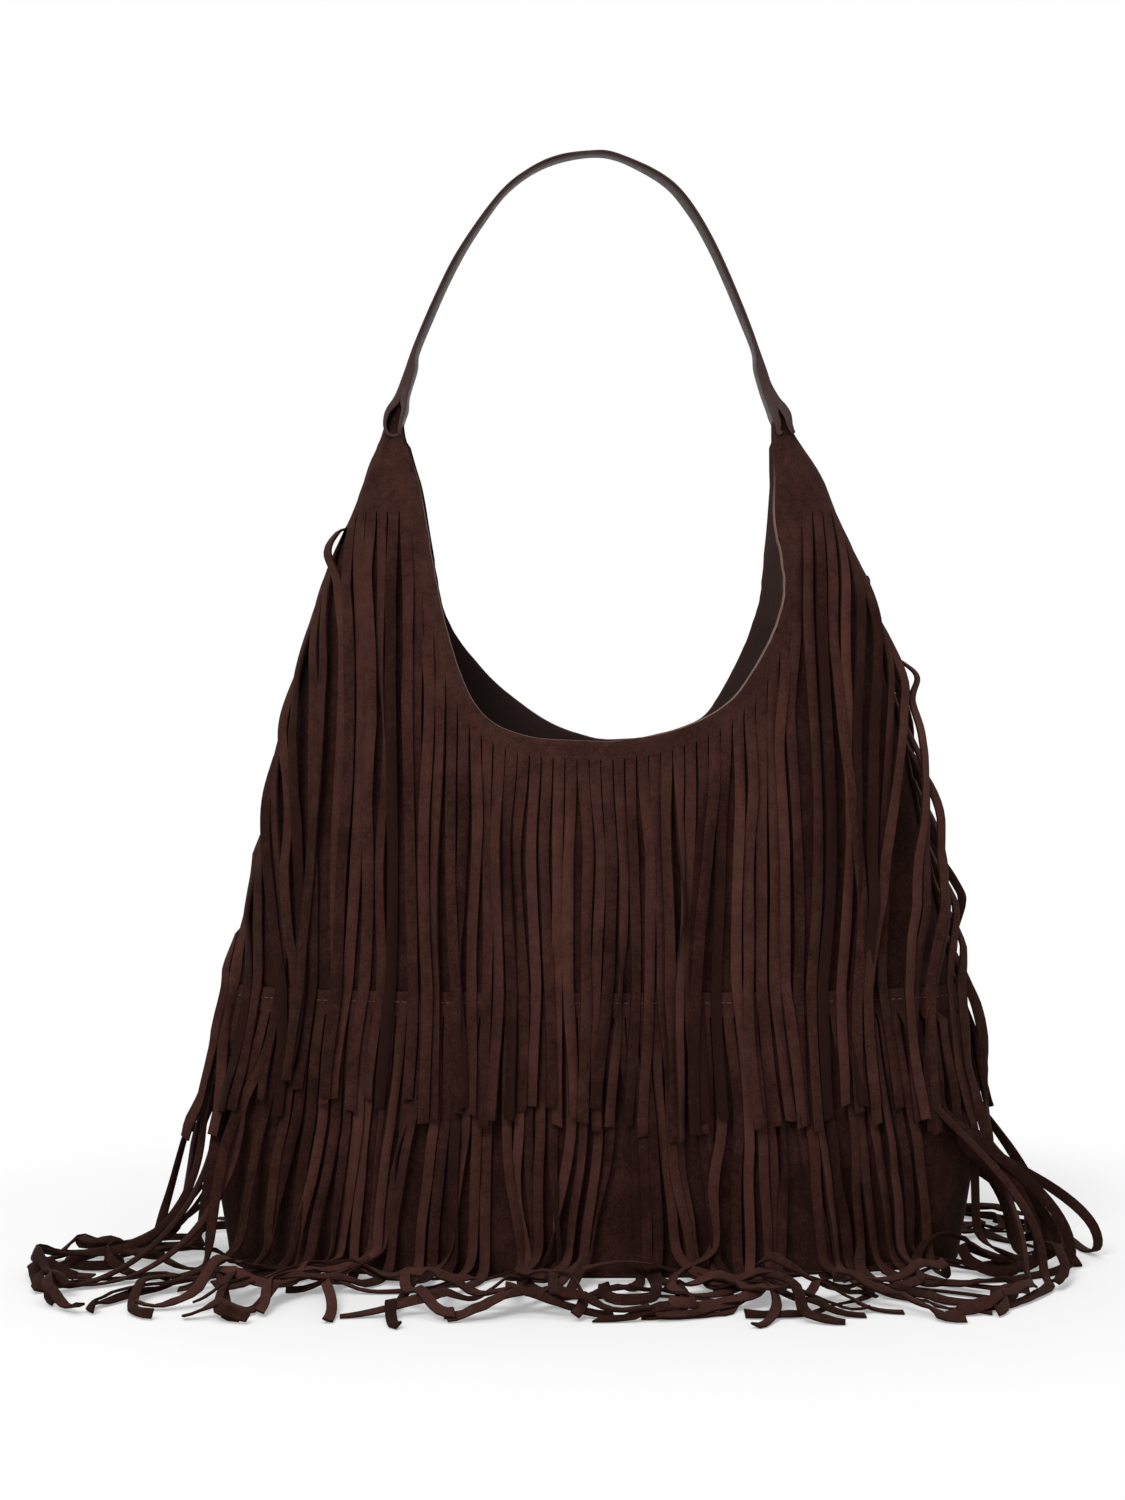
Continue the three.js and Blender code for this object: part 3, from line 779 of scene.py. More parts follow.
class Comb:
    """A tier of fringe as the middle surface of one sheet: what joins the strips, and the strips."""

    def __init__(self, flip):
        self.points = []
        self.faces = []
        self.tones = []
        self.rims = []
        self.flip = flip

    def add(self, points, tones, rims=0.0):
        """Adds points with their tones, and marks the ones on a painted edge."""
        first = len(self.points)
        self.points.extend(points)
        self.tones.extend(np.broadcast_to(tones, len(points)))
        self.rims.extend(np.broadcast_to(rims, len(points)))
        return list(range(first, first + len(points)))

    def face(self, corners):
        self.faces.append(tuple(corners[::-1]) if self.flip else tuple(corners))

    def ribbon(self, first, rows, tones):
        """Joins rows of a left, middle and right point to a first row that is already there."""
        last = first
        for row, tone in zip(rows, tones):
            now = self.add(row, tone)
            self.face((now[0], now[1], last[1], last[0]))
            self.face((now[1], now[2], last[2], last[1]))
            last = now

    def object(self, name):
        return mesh_object(name, self.points, self.faces, tone=self.tones, rim=self.rims)


def ribbon_rows(centre, across, roll, cup, width):
    """Left, middle and right points of a ribbon along a line, turned about the line by roll."""
    tangent = tangents(centre)
    across = across - tangent * (across * tangent).sum(axis=1, keepdims=True)
    across /= np.linalg.norm(across, axis=1, keepdims=True)
    normal = np.cross(tangent, across)
    turned = across * np.cos(roll)[:, None] + normal * np.sin(roll)[:, None]
    facing = np.cross(tangent, turned)
    half = (width / 2)[:, None]
    middle = centre + facing * cup[:, None]
    return np.stack([centre - turned * half, middle, centre + turned * half], 1)


def slant_end(rows, amount):
    """Cuts the end of a ribbon at a slant."""
    way = rows[-1, 1] - rows[-2, 1]
    way /= np.linalg.norm(way)
    rows[-1, 0] += way * amount
    rows[-1, 2] -= way * amount
    return rows


def near_seam(share):
    """0 in the middle half of a face, rising to 1 beside its seams."""
    return smooth_step((share - 0.5) / 0.45)


def stand_off(along, z):
    """How far the fringe stands off the body beside the seams."""
    share = np.abs(along) / half_length(np.maximum(z, WIDEST))
    left = np.interp(z, STAND_HEIGHTS, STAND[-1])
    right = np.interp(z, STAND_HEIGHTS, STAND[1])
    return np.where(along < 0, left, right) * near_seam(share)


def hang_frame(side, along, z, loose=0.0):
    """Like body_frame, for fringe: it spreads with the body below the band, and drops straight at the foot.

    Loose is the share of the room beside the seams that the strip takes up.
    """
    level = np.maximum(z, WIDEST)
    spread = half_length(level) / half_length(BAND_HEIGHT)
    wide = np.where(z < BAND_HEIGHT, along * spread, along)
    point, outward, across = body_frame(side, wide, level)
    point = point + outward * (loose * stand_off(wide, z))[:, None]
    point[:, 2] = z
    return point, outward, across


# A strip is pulled this share of the way to the middle of its group, and wavers by itself by about so much,
# over lengths between these. All of them follow two waves of these sizes together.
PULL_SHARES = (0.06, 0.22)
WAVER = 0.7 * MM
WAVER_LENGTHS = (14, 34)
SHARED_WAVE, SHORT_WAVE = 2.0 * MM, 1.3 * MM


def strip_drift(rng, middle, clump, depth, length, lean, kick):
    """How far a strip wanders to the side on its way down, by the distance below its start.

    The clump is its centre and its lean. A strip leans by itself and with its clump, and its end kicks out.
    """
    centre, group = clump
    pull = rng.uniform(*PULL_SHARES) * (centre - middle)
    own = rng.normal(0, WAVER)
    own = own * np.sin(depth / (rng.uniform(*WAVER_LENGTHS) * MM) + rng.uniform(0, 2 * math.pi))
    place = middle / STRIP_PITCH
    shared = SHARED_WAVE * np.sin(place / 3.7 + depth / (70 * MM))
    shared += SHORT_WAVE * np.sin(place / 1.9 + 2 - depth / (41 * MM))
    share = depth / length
    leaning = (rng.normal(0, 0.45) + 0.9 * group) * lean * share**1.4
    kicking = (rng.normal(0, 0.8) + 0.5 * group) * kick * smooth_step((share - 0.6) / 0.4)
    return smooth_step(depth / DRIFT_DEPTH) * (pull + own + shared + leaning + kicking)


# Hanging strips turn by about the first of these angles and waver by the second. The ones that turn strongly
# do so by angles between the last two, in degrees.
ROLL = math.radians(17)
ROLL_WAVER = math.radians(10)
STRONG_ROLLS = (40, 85)


def strip_roll(rng, depth, strong):
    """How a hanging strip turns about its own line."""
    lean = rng.normal(0, ROLL)
    wave = ROLL_WAVER * np.sin(depth / (rng.uniform(12, 26) * MM) + rng.uniform(0, 6.3))
    roll = smooth_step(depth / TURN_DEPTH) * (lean + wave)
    if rng.random() < strong:
        centre = rng.uniform(0.35, 1.1) * depth[-1]
        size = rng.choice((-1, 1)) * math.radians(rng.uniform(*STRONG_ROLLS))
        roll = roll + size * np.exp(-(((depth - centre) / (rng.uniform(14, 30) * MM)) ** 2))
    return roll


# Strips that stray far across their neighbours, by face: distance along at the start, and how far they go, in
# millimetres.
STRAYS = {
    "front": [(-165, 12), (-133, -9), (-70, 7), (58, -8), (118, 14), (146, -16), (168, -13), (183, 12)],
    "back": [(-172, 14), (-120, -12), (20, 9), (95, -10), (160, 13)],
}
# Strips that bow out from the face: distance along, height of the bow, how far, and half its length, in
# millimetres.
BOWS = {
    "front": [(-129, 354, 8, 11), (151, 293, 12, 9), (-153, 262, 4, 20), (137, 346, 4, 9), (166, 215, 3, 22)],
    "back": [(-140, 300, 6, 18), (172, 190, 4, 24)],
}


def nearest(middles, distance):
    return int(np.abs(middles - distance * MM).argmin())


def hem_height(face, middle, rng):
    """Height at which a strip of the upper tier ends. The back's hem is the front's, seen from behind."""
    return np.interp(-SIDES[face] * middle, HEM_ALONG, HEM_HEIGHT) + rng.normal(0, HEM_SPREAD)


# How widths and lengths of strips differ, in shares, and how far a strip's middle lies off its edges.
WIDTH_SHARES = (0.93, 1.04)
LENGTH_SHARES = (0.97, 1.12)
CUP = 0.25 * MM
# How much strips lean and kick out on their way down, down to which depth they keep to the yoke, the share of
# them that turn strongly, and how slanting their ends are cut.
UPPER_LEAN, UPPER_KICK = 2.2 * MM, 2.4 * MM
LOWER_LEAN, LOWER_KICK = 1.2 * MM, 1.7 * MM
UPPER_HELD, LOWER_HELD = 12 * MM, 10 * MM
UPPER_TURNS, LOWER_TURNS = 0.2, 0.12
UPPER_SLANT, LOWER_SLANT = 0.7 * MM, 0.8 * MM
HEM_SPREAD = 3.2 * MM
# Depths over which a strip takes up its drift, its turn, its lift, its stand-off, its cup and its own tone.
DRIFT_DEPTH = 55 * MM
TURN_DEPTH = 35 * MM
LIFT_DEPTH = 50 * MM
STAND_DEPTH = 45 * MM
CUP_DEPTH = 30 * MM
TONE_DEPTH = 45 * MM
# Mean tone of the strips, how much it differs, and how much darker they are painted towards the sides, as
# shade where the faces turn away from the light. The lower tier's mean is darker, as painted shade lower
# down.
UPPER_TONE, LOWER_TONE = 0.47, 0.34
TONE_SPREAD = 0.22
SIDE_PAINTED_SHADE = 0.36
# The upper strips get painted shade of this much lower down, from the first of these depths on and over the
# second.
LOW_PAINTED_SHADE = 0.2
DARKER_FROM = 50 * MM
DARKER_OVER = 120 * MM
# What a strip leaves out at each of its edges when it looks for what lies under it, and when it covers that.
UNDER_INSET = 0.55 * MM
OVER_INSET = 0.3 * MM
# Strips rise over others by no more than these slopes, on the face and on the floor.
HANGING_SLOPE = 0.16
FLOOR_SLOPE = 0.5


def lay_on_face(layers, along, z, depth, rise, pile, held, lift, thickness):
    """Distances of a hanging strip from the face, over what already hangs there, which it then adds to.

    Down to the depth held it lies as close as the yoke. Rise is half the height that the strip takes by being
    turned, pile the greatest height of the layers, and lift what is added on top.
    """
    spot = np.stack([along, z], -1)
    sideways = np.broadcast_to([1.0, 0.0], spot.shape)
    under = layers.under(spot, sideways, STRIP_WIDTH / 2 - UNDER_INSET)
    needed = np.maximum(under, YOKE_OUT) + LAYER_GAP + 0.5 * rise
    needed = pressed(needed, pile) + 0.5 * rise
    needed[depth < held] = YOKE_OUT
    run = np.concatenate([[0], depth])
    line = drape_over(np.concatenate([[YOKE_OUT], needed]), run, HANGING_SLOPE)[1:] + lift
    layers.cover(spot, sideways, STRIP_WIDTH / 2 - OVER_INSET, line + thickness + 0.5 * rise)
    return line


def strip_tone(rng, mean, darker):
    # Darker is painted shade, taken off the strip's own random tone.
    return np.clip(rng.normal(mean, TONE_SPREAD) - darker, 0.02, 0.98)


def upper_strip(rng, face, middles, clump, index, start, layers, thickness):
    """Rows and tones of one strip of the upper tier, laid over what already hangs there."""
    side = SIDES[face]
    end = hem_height(face, middles[index], rng)
    bows = [bow for bow in BOWS[face] if index == nearest(middles, bow[0])]
    count = max(int((start - end) / (ROW_STEP / 2.5 if bows else ROW_STEP)), 6)
    z = np.linspace(start, end, count + 1)[1:]
    depth = start - z
    drift = strip_drift(rng, middles[index], clump, depth, start - end, UPPER_LEAN, UPPER_KICK)
    for stray, amount in STRAYS[face]:
        if index == nearest(middles, stray):
            drift = drift + amount * MM * smooth_step(depth / (start - end)) ** 1.3
    roll = strip_roll(rng, depth, UPPER_TURNS)
    along = middles[index] + drift
    width = np.full(count, STRIP_WIDTH * rng.uniform(*WIDTH_SHARES))
    width *= 1 + 0.03 * np.sin(depth / (9 * MM) + index)
    rise = np.abs(np.sin(roll)) * width / 2
    bow = np.zeros(count)
    for _, height, amount, reach in bows:
        bow += amount * MM * np.exp(-(((z - height * MM) / (reach * MM)) ** 2))
    lift = rng.uniform(0, 0.8 * MM) * smooth_step(depth / LIFT_DEPTH)
    line = lay_on_face(layers, along, z, depth, rise, HANGING_PILE, UPPER_HELD, lift, thickness)
    curl = rng.uniform(-1, 2.2) * MM * smooth_step((depth / (start - end) - 0.8) / 0.2)
    out = line + thickness / 2 + bow + np.maximum(curl, 0)
    loose = rng.uniform(0.55, 1.1) * smooth_step(depth / STAND_DEPTH)
    point, outward, across = hang_frame(side, along, z, loose)
    centre = point + outward * out[:, None]
    cup = rng.normal(0, CUP) * smooth_step(depth / CUP_DEPTH)
    rows = ribbon_rows(centre, across, roll, cup, width)
    rows = slant_end(rows, rng.normal(0, UPPER_SLANT))
    first = float(yoke_tone_and_shade(start))
    share = middles[index] / half_length(BAND_HEIGHT)
    # The strip's own tone, less painted shade towards the sides.
    own = strip_tone(rng, UPPER_TONE, SIDE_PAINTED_SHADE * share**2)
    # Painted shade, darker lower down.
    own = own - LOW_PAINTED_SHADE * smooth_step((depth - DARKER_FROM) / DARKER_OVER)
    return rows, first + (own - first) * smooth_step(depth / TONE_DEPTH)


def yoke_tone_and_shade(z):
    """The plain tips of the horns look lighter under the lamps, so the yoke is toned darker up them, and
    between the plies of the strap the tips are painted dark as shade.
    """
    return np.interp(z, np.array([0, 350, 385, 408, 414, 423]) * MM, [0.44, 0.4, 0.3, 0.28, 0.08, 0.0])


# Points of the yoke: how far apart they are inside it, and at the least on its edge.
YOKE_STEP = 4 * MM
EDGE_STEP = 2.2 * MM


def yoke(comb, face, middles, starts, thickness):
    """The uncut part of the upper tier. Returns the first row of each strip and the yoke's flat area."""
    feet = []
    for middle, start in zip(middles, starts):
        feet += [(middle + k * STRIP_WIDTH / 2, start) for k in (-1, 0, 1)]
    outline = upper_outline(face)
    low_left, low_right = starts[0], starts[-1]
    lowest = np.where(np.arange(len(outline)) < len(outline) // 2, low_left, low_right)
    border = outline[outline[:, 1] > lowest, :2]
    for tip in horn_tips(border):
        border[tip[1:-1], 1] += TONGUE
    kept = [np.array([-half_length(low_left), low_left])]
    for point in border:
        if np.linalg.norm(point - kept[-1]) > EDGE_STEP:
            kept.append(point)
    kept.append(np.array([half_length(low_right), low_right]))
    loop = [tuple(p) for p in kept] + feet[::-1]
    inner = []
    for z in np.arange(low_left, HORN_HEIGHT, YOKE_STEP):
        reach = half_length(z)
        inner += [(along, z) for along in np.arange(-reach, reach, YOKE_STEP)]
    spots = [Vector(p) / MM for p in loop + inner]
    polygon = list(range(len(loop)))
    points, _, faces, origins, _, _ = delaunay_2d_cdt(spots, [], [polygon], 1, 1e-6)
    flat = np.array([(p.x, p.y) for p in points]) * MM
    used = sorted({i for triangle in faces for i in triangle})
    solid_points = on_body(SIDES[face], flat[used, 0], flat[used, 1], YOKE_OUT + thickness / 2)
    border_points = {new for new, sources in enumerate(origins) if any(s < len(kept) for s in sources)}
    rims = [float(rim_mark(flat[i, 1])) if i in border_points else 0.0 for i in used]
    number = dict(zip(used, comb.add(solid_points, yoke_tone_and_shade(flat[used, 1]), rims)))
    for triangle in faces:
        comb.face([number[i] for i in triangle])
    place_of = {source: new for new, sources in enumerate(origins) for source in sources}
    last = len(loop) - 1
    rows = [[number[place_of[last - 3 * k - j]] for j in range(3)] for k in range(len(middles))]
    return rows, sum(polygon_area(flat[list(triangle)]) for triangle in faces)


def tier_object(comb, face, tier, thickness):
    obj = comb.object(f"{face}_{tier}_tier")
    thicken(obj, thickness)
    dress(obj, "brushed_suede", "raw_edge")
    settle(obj, "suede", f"{face}_{tier}_fringe")
    return obj


def upper_tier(face, layers):
    """A whole upper tier: the yoke over the rim and the horns, and its strips."""
    rng = np.random.default_rng(UPPER_SEED[face])
    thickness = bpy.context.scene.bag_sizes.suede
    middles = strip_middles()
    centres, leans = clumps(rng, middles)
    starts = slit_starts(face, middles)
    comb = Comb(flip=SIDES[face] > 0)
    first_rows, area = yoke(comb, face, middles, starts, thickness)
    order = rng.permutation(len(middles))
    strays = [nearest(middles, place) for place, _ in STRAYS[face]]
    order = [i for i in order if i not in strays] + strays
    for index in order:
        clump = (centres[index], leans[index])
        rows, tones = upper_strip(rng, face, middles, clump, index, starts[index], layers, thickness)
        comb.ribbon(first_rows[index], rows, tones)
        area += STRIP_WIDTH * (starts[index] - rows[-1, 1, 2])
    obj = tier_object(comb, face, "upper", thickness)


# How much the outer strips of the back turn away from the bag's ends, and the tone of the bands.
BACK_TURN = math.radians(38)
BAND_TONE = 0.36
# About how high the strips pile up on the floor, and how far out they do on a face.
PILE = 13 * MM
HANGING_PILE = 8 * MM

# How the lower strips of the front set off over the floor, by their place from its left end to its right end:
# the direction in degrees from the bag's right, and how much it turns to the left, in radians a metre. The
# back's strips do the same half a turn round.
SET_OFF_AT = [-1, -0.85, -0.6, -0.3, 0, 0.15, 0.4, 0.6, 0.8, 1]
SET_OFF = [182, 200, 226, 246, 252, 268, 254, 278, 300, 340]
SET_OFF_BEND = [4, 8, 6, 3, -3, 2, 3, -16, -34, -38]
# Some strips outside this share of each face fan out to the side, on the left and on the right: how many of
# them, how far from the middle they land, and between which distances in front of it (negative) or behind it.
FAN_FROM = {-1: 0.7, 1: 0.76}
FAN_SHARE = {-1: 0.5, 1: 0.85}
FAN_ACROSS = {-1: (214 * MM, 260 * MM), 1: (200 * MM, 246 * MM)}
FAN_DEEP = {"front": (-84 * MM, 2 * MM), "back": (-10 * MM, 24 * MM)}
# The strips of the right fan arch out from this height and fall almost upright onto the floor, where they
# turn back under themselves with this radius, in directions between these, in degrees.
ARCH_TOP = (42 * MM, 92 * MM)
ARCH_HEADING = {"front": (195, 300), "back": (20, 120)}
ARCH_TURN = 7 * MM
# How they bend over the floor, in radians a metre, which share of their points makes the arch, and how early
# they go out and fall.
ARCH_BEND = (-14, 4)
ARCH_PART = 0.85
ARCH_OUT = 0.8
ARCH_FALL = 1.25
# The strips of the left fan start to bend at this share of how far they reach, between these heights.
FAN_RISE = (0.85, 1.6)
FAN_HEIGHTS = (24 * MM, 80 * MM)
# Directions differ by about these angles: from strip to strip, from group to group and near the ends. This
# share of the strips turns aside by more, in degrees.
STRIP_SPREAD = math.radians(10)
GROUP_SPREAD = math.radians(12)
END_SPREAD = math.radians(18)
ASIDE_SHARE = 0.2
ASIDE = (35, 80)
# How far from its foot a strip lands, in millimetres: at the least, at the most, and how much more at the
# ends.
LANDING_NEAR, LANDING_FAR, LANDING_MORE = 7, 17, 12


def set_off(rng, face, middle, group):
    """How a lower strip meets the floor.

    Returns the way from its foot to where it lands, the height at which that begins, its direction over the
    floor, the even bend of its way, and whether it arches.
    """
    share = middle / half_length(BAND_HEIGHT)
    sign = 1 if share > 0 else -1
    place = share if face == "front" else -share
    even_bend = np.interp(place, SET_OFF_AT, SET_OFF_BEND) * rng.uniform(0.5, 1.3)
    if abs(share) > FAN_FROM[sign] and rng.random() < FAN_SHARE[sign]:
        foot, _, _ = hang_frame(SIDES[face], np.array([middle]), np.array([WIDEST]))
        near, far = FAN_ACROSS[sign]
        far -= (far - near) * 0.6 * float(smooth_step((1 - abs(share)) / 0.3))
        x = sign * rng.uniform(near, far) - foot[0, 0]
        y = rng.uniform(*FAN_DEEP[face]) - foot[0, 1]
        reach = math.hypot(x, y)
        if sign > 0:
            heading = math.radians(rng.uniform(*ARCH_HEADING[face]))
            return np.array([x, y]), rng.uniform(*ARCH_TOP), heading, rng.uniform(*ARCH_BEND), True
        height = float(np.clip(reach * rng.uniform(*FAN_RISE), *FAN_HEIGHTS))
        if face == "back":
            even_bend = -even_bend
        return np.array([x, y]), height, math.atan2(y, x), even_bend, False
    heading = math.radians(np.interp(place, SET_OFF_AT, SET_OFF))
    heading += rng.normal(0, STRIP_SPREAD) + group * GROUP_SPREAD
    if rng.random() < ASIDE_SHARE:
        heading += rng.choice((-1, 1)) * math.radians(rng.uniform(*ASIDE))
    if abs(share) > FAN_FROM[sign]:
        heading += rng.normal(0, END_SPREAD)
    if face == "back":
        heading += math.pi + BACK_TURN * float(smooth_step((abs(share) - 0.5) / 0.3)) * sign
    far = LANDING_FAR + LANDING_MORE * smooth_step((abs(share) - 0.6) / 0.4)
    reach = rng.uniform(LANDING_NEAR, far) * MM
    return reach * direction(heading), reach, heading, even_bend, False


def bend_line(start, landing, lift, way, arches, steps):
    """Points between the hanging part of a strip and where it lies on the floor."""
    t = np.linspace(0, 1, steps + 1)[1:-1]
    if not arches:
        angles = t * math.pi / 2
        xy = start[:2] + (landing - start[:2]) * (1 - np.cos(angles))[:, None]
        return np.column_stack([xy, start[2] - (start[2] - lift) * np.sin(angles)])
    above = landing - way * ARCH_TURN
    split = int(ARCH_PART * len(t))
    share = np.linspace(0, 1, split + 1)[1:]
    arch = start[:2] + (above - start[:2]) * (smooth_step(share) ** ARCH_OUT)[:, None]
    fall = start[2] - (start[2] - lift - ARCH_TURN) * share**ARCH_FALL
    angles = np.linspace(0, math.pi / 2, len(t) - split + 2)[1:-1]
    turn = above + way * ARCH_TURN * (1 - np.cos(angles))[:, None]
    last = lift + ARCH_TURN * (1 - np.sin(angles))
    return np.concatenate([np.column_stack([arch, fall]), np.column_stack([turn, last])])


def base_outline_share(x, y):
    """Below 1 inside the foot of the body."""
    room = 5 * MM
    width = BODY_HALF_WIDTH * BODY_LEVELS[0, 1] + room
    depth = BODY_HALF_DEPTH * BODY_LEVELS[0, 2] + room
    return (abs(x) / width) ** ROUNDNESS + (abs(y) / depth) ** ROUNDNESS


# A lying strip looks this far ahead for the body and the edge of its room. It turns away from the one within
# the first of these radii, along the other within the second, and never bends more than the third.
LOOK_AHEAD = 14 * MM
BODY_RADIUS = 12 * MM
EDGE_RADIUS = 10 * MM
LEAST_RADIUS = 9 * MM


def floor_route(rng, start, heading, length, even_bend, curl, reach_y):
    """Points and headings of a strip that lies over the floor, kept clear of the body and inside its room."""
    count = max(int(length / ROW_STEP), 3)
    step = length / count
    # Only the first three of the six phases are used. Drawing fewer would change every strip after this one.
    size = rng.uniform(0.5, 1, 3)
    phase = rng.uniform(0, 2 * math.pi, 6)[:3]
    spot = np.array(start, float)
    spots, headings, bends = [], [], []
    for k in range(count):
        run = k * step
        bend = even_bend + wave_bend(size, phase, run) * curl
        outward = math.atan2(spot[1] / BODY_HALF_DEPTH**2, spot[0] / BODY_HALF_WIDTH**2)
        ahead = spot + LOOK_AHEAD * direction(heading)
        if base_outline_share(*ahead) < 1:
            bend = turn_towards(heading, outward) / BODY_RADIUS
        reach_x = np.interp(abs(ahead[1]), ROOM_DEPTHS, ROOM_LEFT if ahead[0] < 0 else ROOM_RIGHT)
        if abs(ahead[0]) > reach_x or abs(ahead[1]) > reach_y:
            bend = turn_towards(heading, turn_along_edge(heading, ahead, reach_y)) / EDGE_RADIUS
        bend = float(np.clip(bend, -1 / LEAST_RADIUS, 1 / LEAST_RADIUS))
        heading += bend * step
        spot = spot + step * direction(heading)
        spots.append(spot)
        headings.append(heading)
        bends.append(bend)
    return np.array(spots), np.array(headings), np.array(bends)


def wave_bend(size, phase, run):
    """Bend of a lying strip at a distance from where it meets the floor."""
    lengths = np.array([38, 21, 12]) * MM
    weights = 1 / (np.array([55, 38, 42]) * MM)
    return float((size * weights * np.sin(run / lengths + phase)).sum())


def turn_towards(heading, wanted):
    return (wanted - heading + math.pi) % (2 * math.pi) - math.pi


# Beside the edge of the room a strip keeps inwards by this angle, and by more where the room gets narrower.
INWARD = 0.25
MORE_INWARD = 0.8


def turn_along_edge(heading, ahead, reach_y):
    """The direction along the edge of the room that is nearest to the heading, turned a little inwards."""
    if abs(ahead[1]) > reach_y:
        base = 0.0 if math.cos(heading) > 0 else math.pi
        inward = -math.copysign(INWARD, ahead[1]) * (1 if base == 0.0 else -1)
        return base + inward
    base = math.pi / 2 if math.sin(heading) > 0 else -math.pi / 2
    inward = INWARD if abs(ahead[1]) < ROOM_DEPTHS[1] else MORE_INWARD
    return base + math.copysign(inward, ahead[0]) * (1 if base > 0 else -1)


# A lying strip rolls by about this angle. Where it bends it rises on its edge, most at this radius and by
# this angle. It arches above the pile by up to this height. Its half width is never taken as less than the
# last.
FLOOR_ROLL = math.radians(24)
EDGE_ON_RADIUS = 13 * MM
EDGE_ON = math.radians(62)
FLOOR_ARCH = 13 * MM
LEAST_HALF = 1.2 * MM


def lying_part(rng, side, landing, heading, length, even_bend, curl, layers, thickness):
    """The part of a lower strip on the floor: its points, the directions across it and how it turns."""
    reach_y = REACH_Y * (1 - 0.3 * rng.random() ** 1.5)
    spots, headings, bends = floor_route(rng, landing, heading, length, even_bend, curl, reach_y)
    roll = FLOOR_ROLL * np.sin(np.arange(len(spots)) / rng.uniform(3, 8) + rng.uniform(0, 6.3))
    edge_on = np.clip(np.abs(bends) * EDGE_ON_RADIUS, 0, 1) * EDGE_ON * np.sign(bends + 1e-9)
    edge_on = np.convolve(np.pad(edge_on, 2, mode="edge"), np.ones(5) / 5, mode="valid")
    roll = roll * rng.uniform(0.3, 1.2) + edge_on
    across = side * np.stack([np.sin(headings), -np.cos(headings)], -1)
    rise = np.abs(np.sin(roll)) * STRIP_WIDTH / 2
    flat_half = max(float(np.abs(np.cos(roll)).mean()) * STRIP_WIDTH / 2, LEAST_HALF)
    # Turned strips nest between the ones below them, and a high pile sinks together.
    needed = layers.under(spots, across, flat_half) + LAYER_GAP + 0.35 * rise
    needed = np.maximum(pressed(needed, PILE), LAYER_GAP + rise)
    run = np.arange(len(spots)) * ROW_STEP
    line = drape_over(needed, run, FLOOR_SLOPE)
    line = line + rng.uniform(0, 1) ** 3 * FLOOR_ARCH * np.sin(run / run[-1] * math.pi) ** 2
    layers.cover(spots, across, flat_half, line + thickness + 0.35 * rise)
    points = np.column_stack([spots, line + thickness / 2])
    return points, np.column_stack([across, np.zeros(len(spots))]), roll


# This share of the lower strips lies calmly on the floor and the others curl: how strongly each kind waves.
CALM_SHARE = 0.75
CALM = (0.25, 1.0)
CURLY = (1.1, 2.5)
# The bend starts a little above the height that a strip needs for it, and this far from the body. The hanging
# part ends no lower than this above the lying one, which is never shorter than the last.
BEND_ROOM = 2 * MM
FOOT_OUT = 3 * MM
LEAST_FALL = 4 * MM
LEAST_LYING = 20 * MM


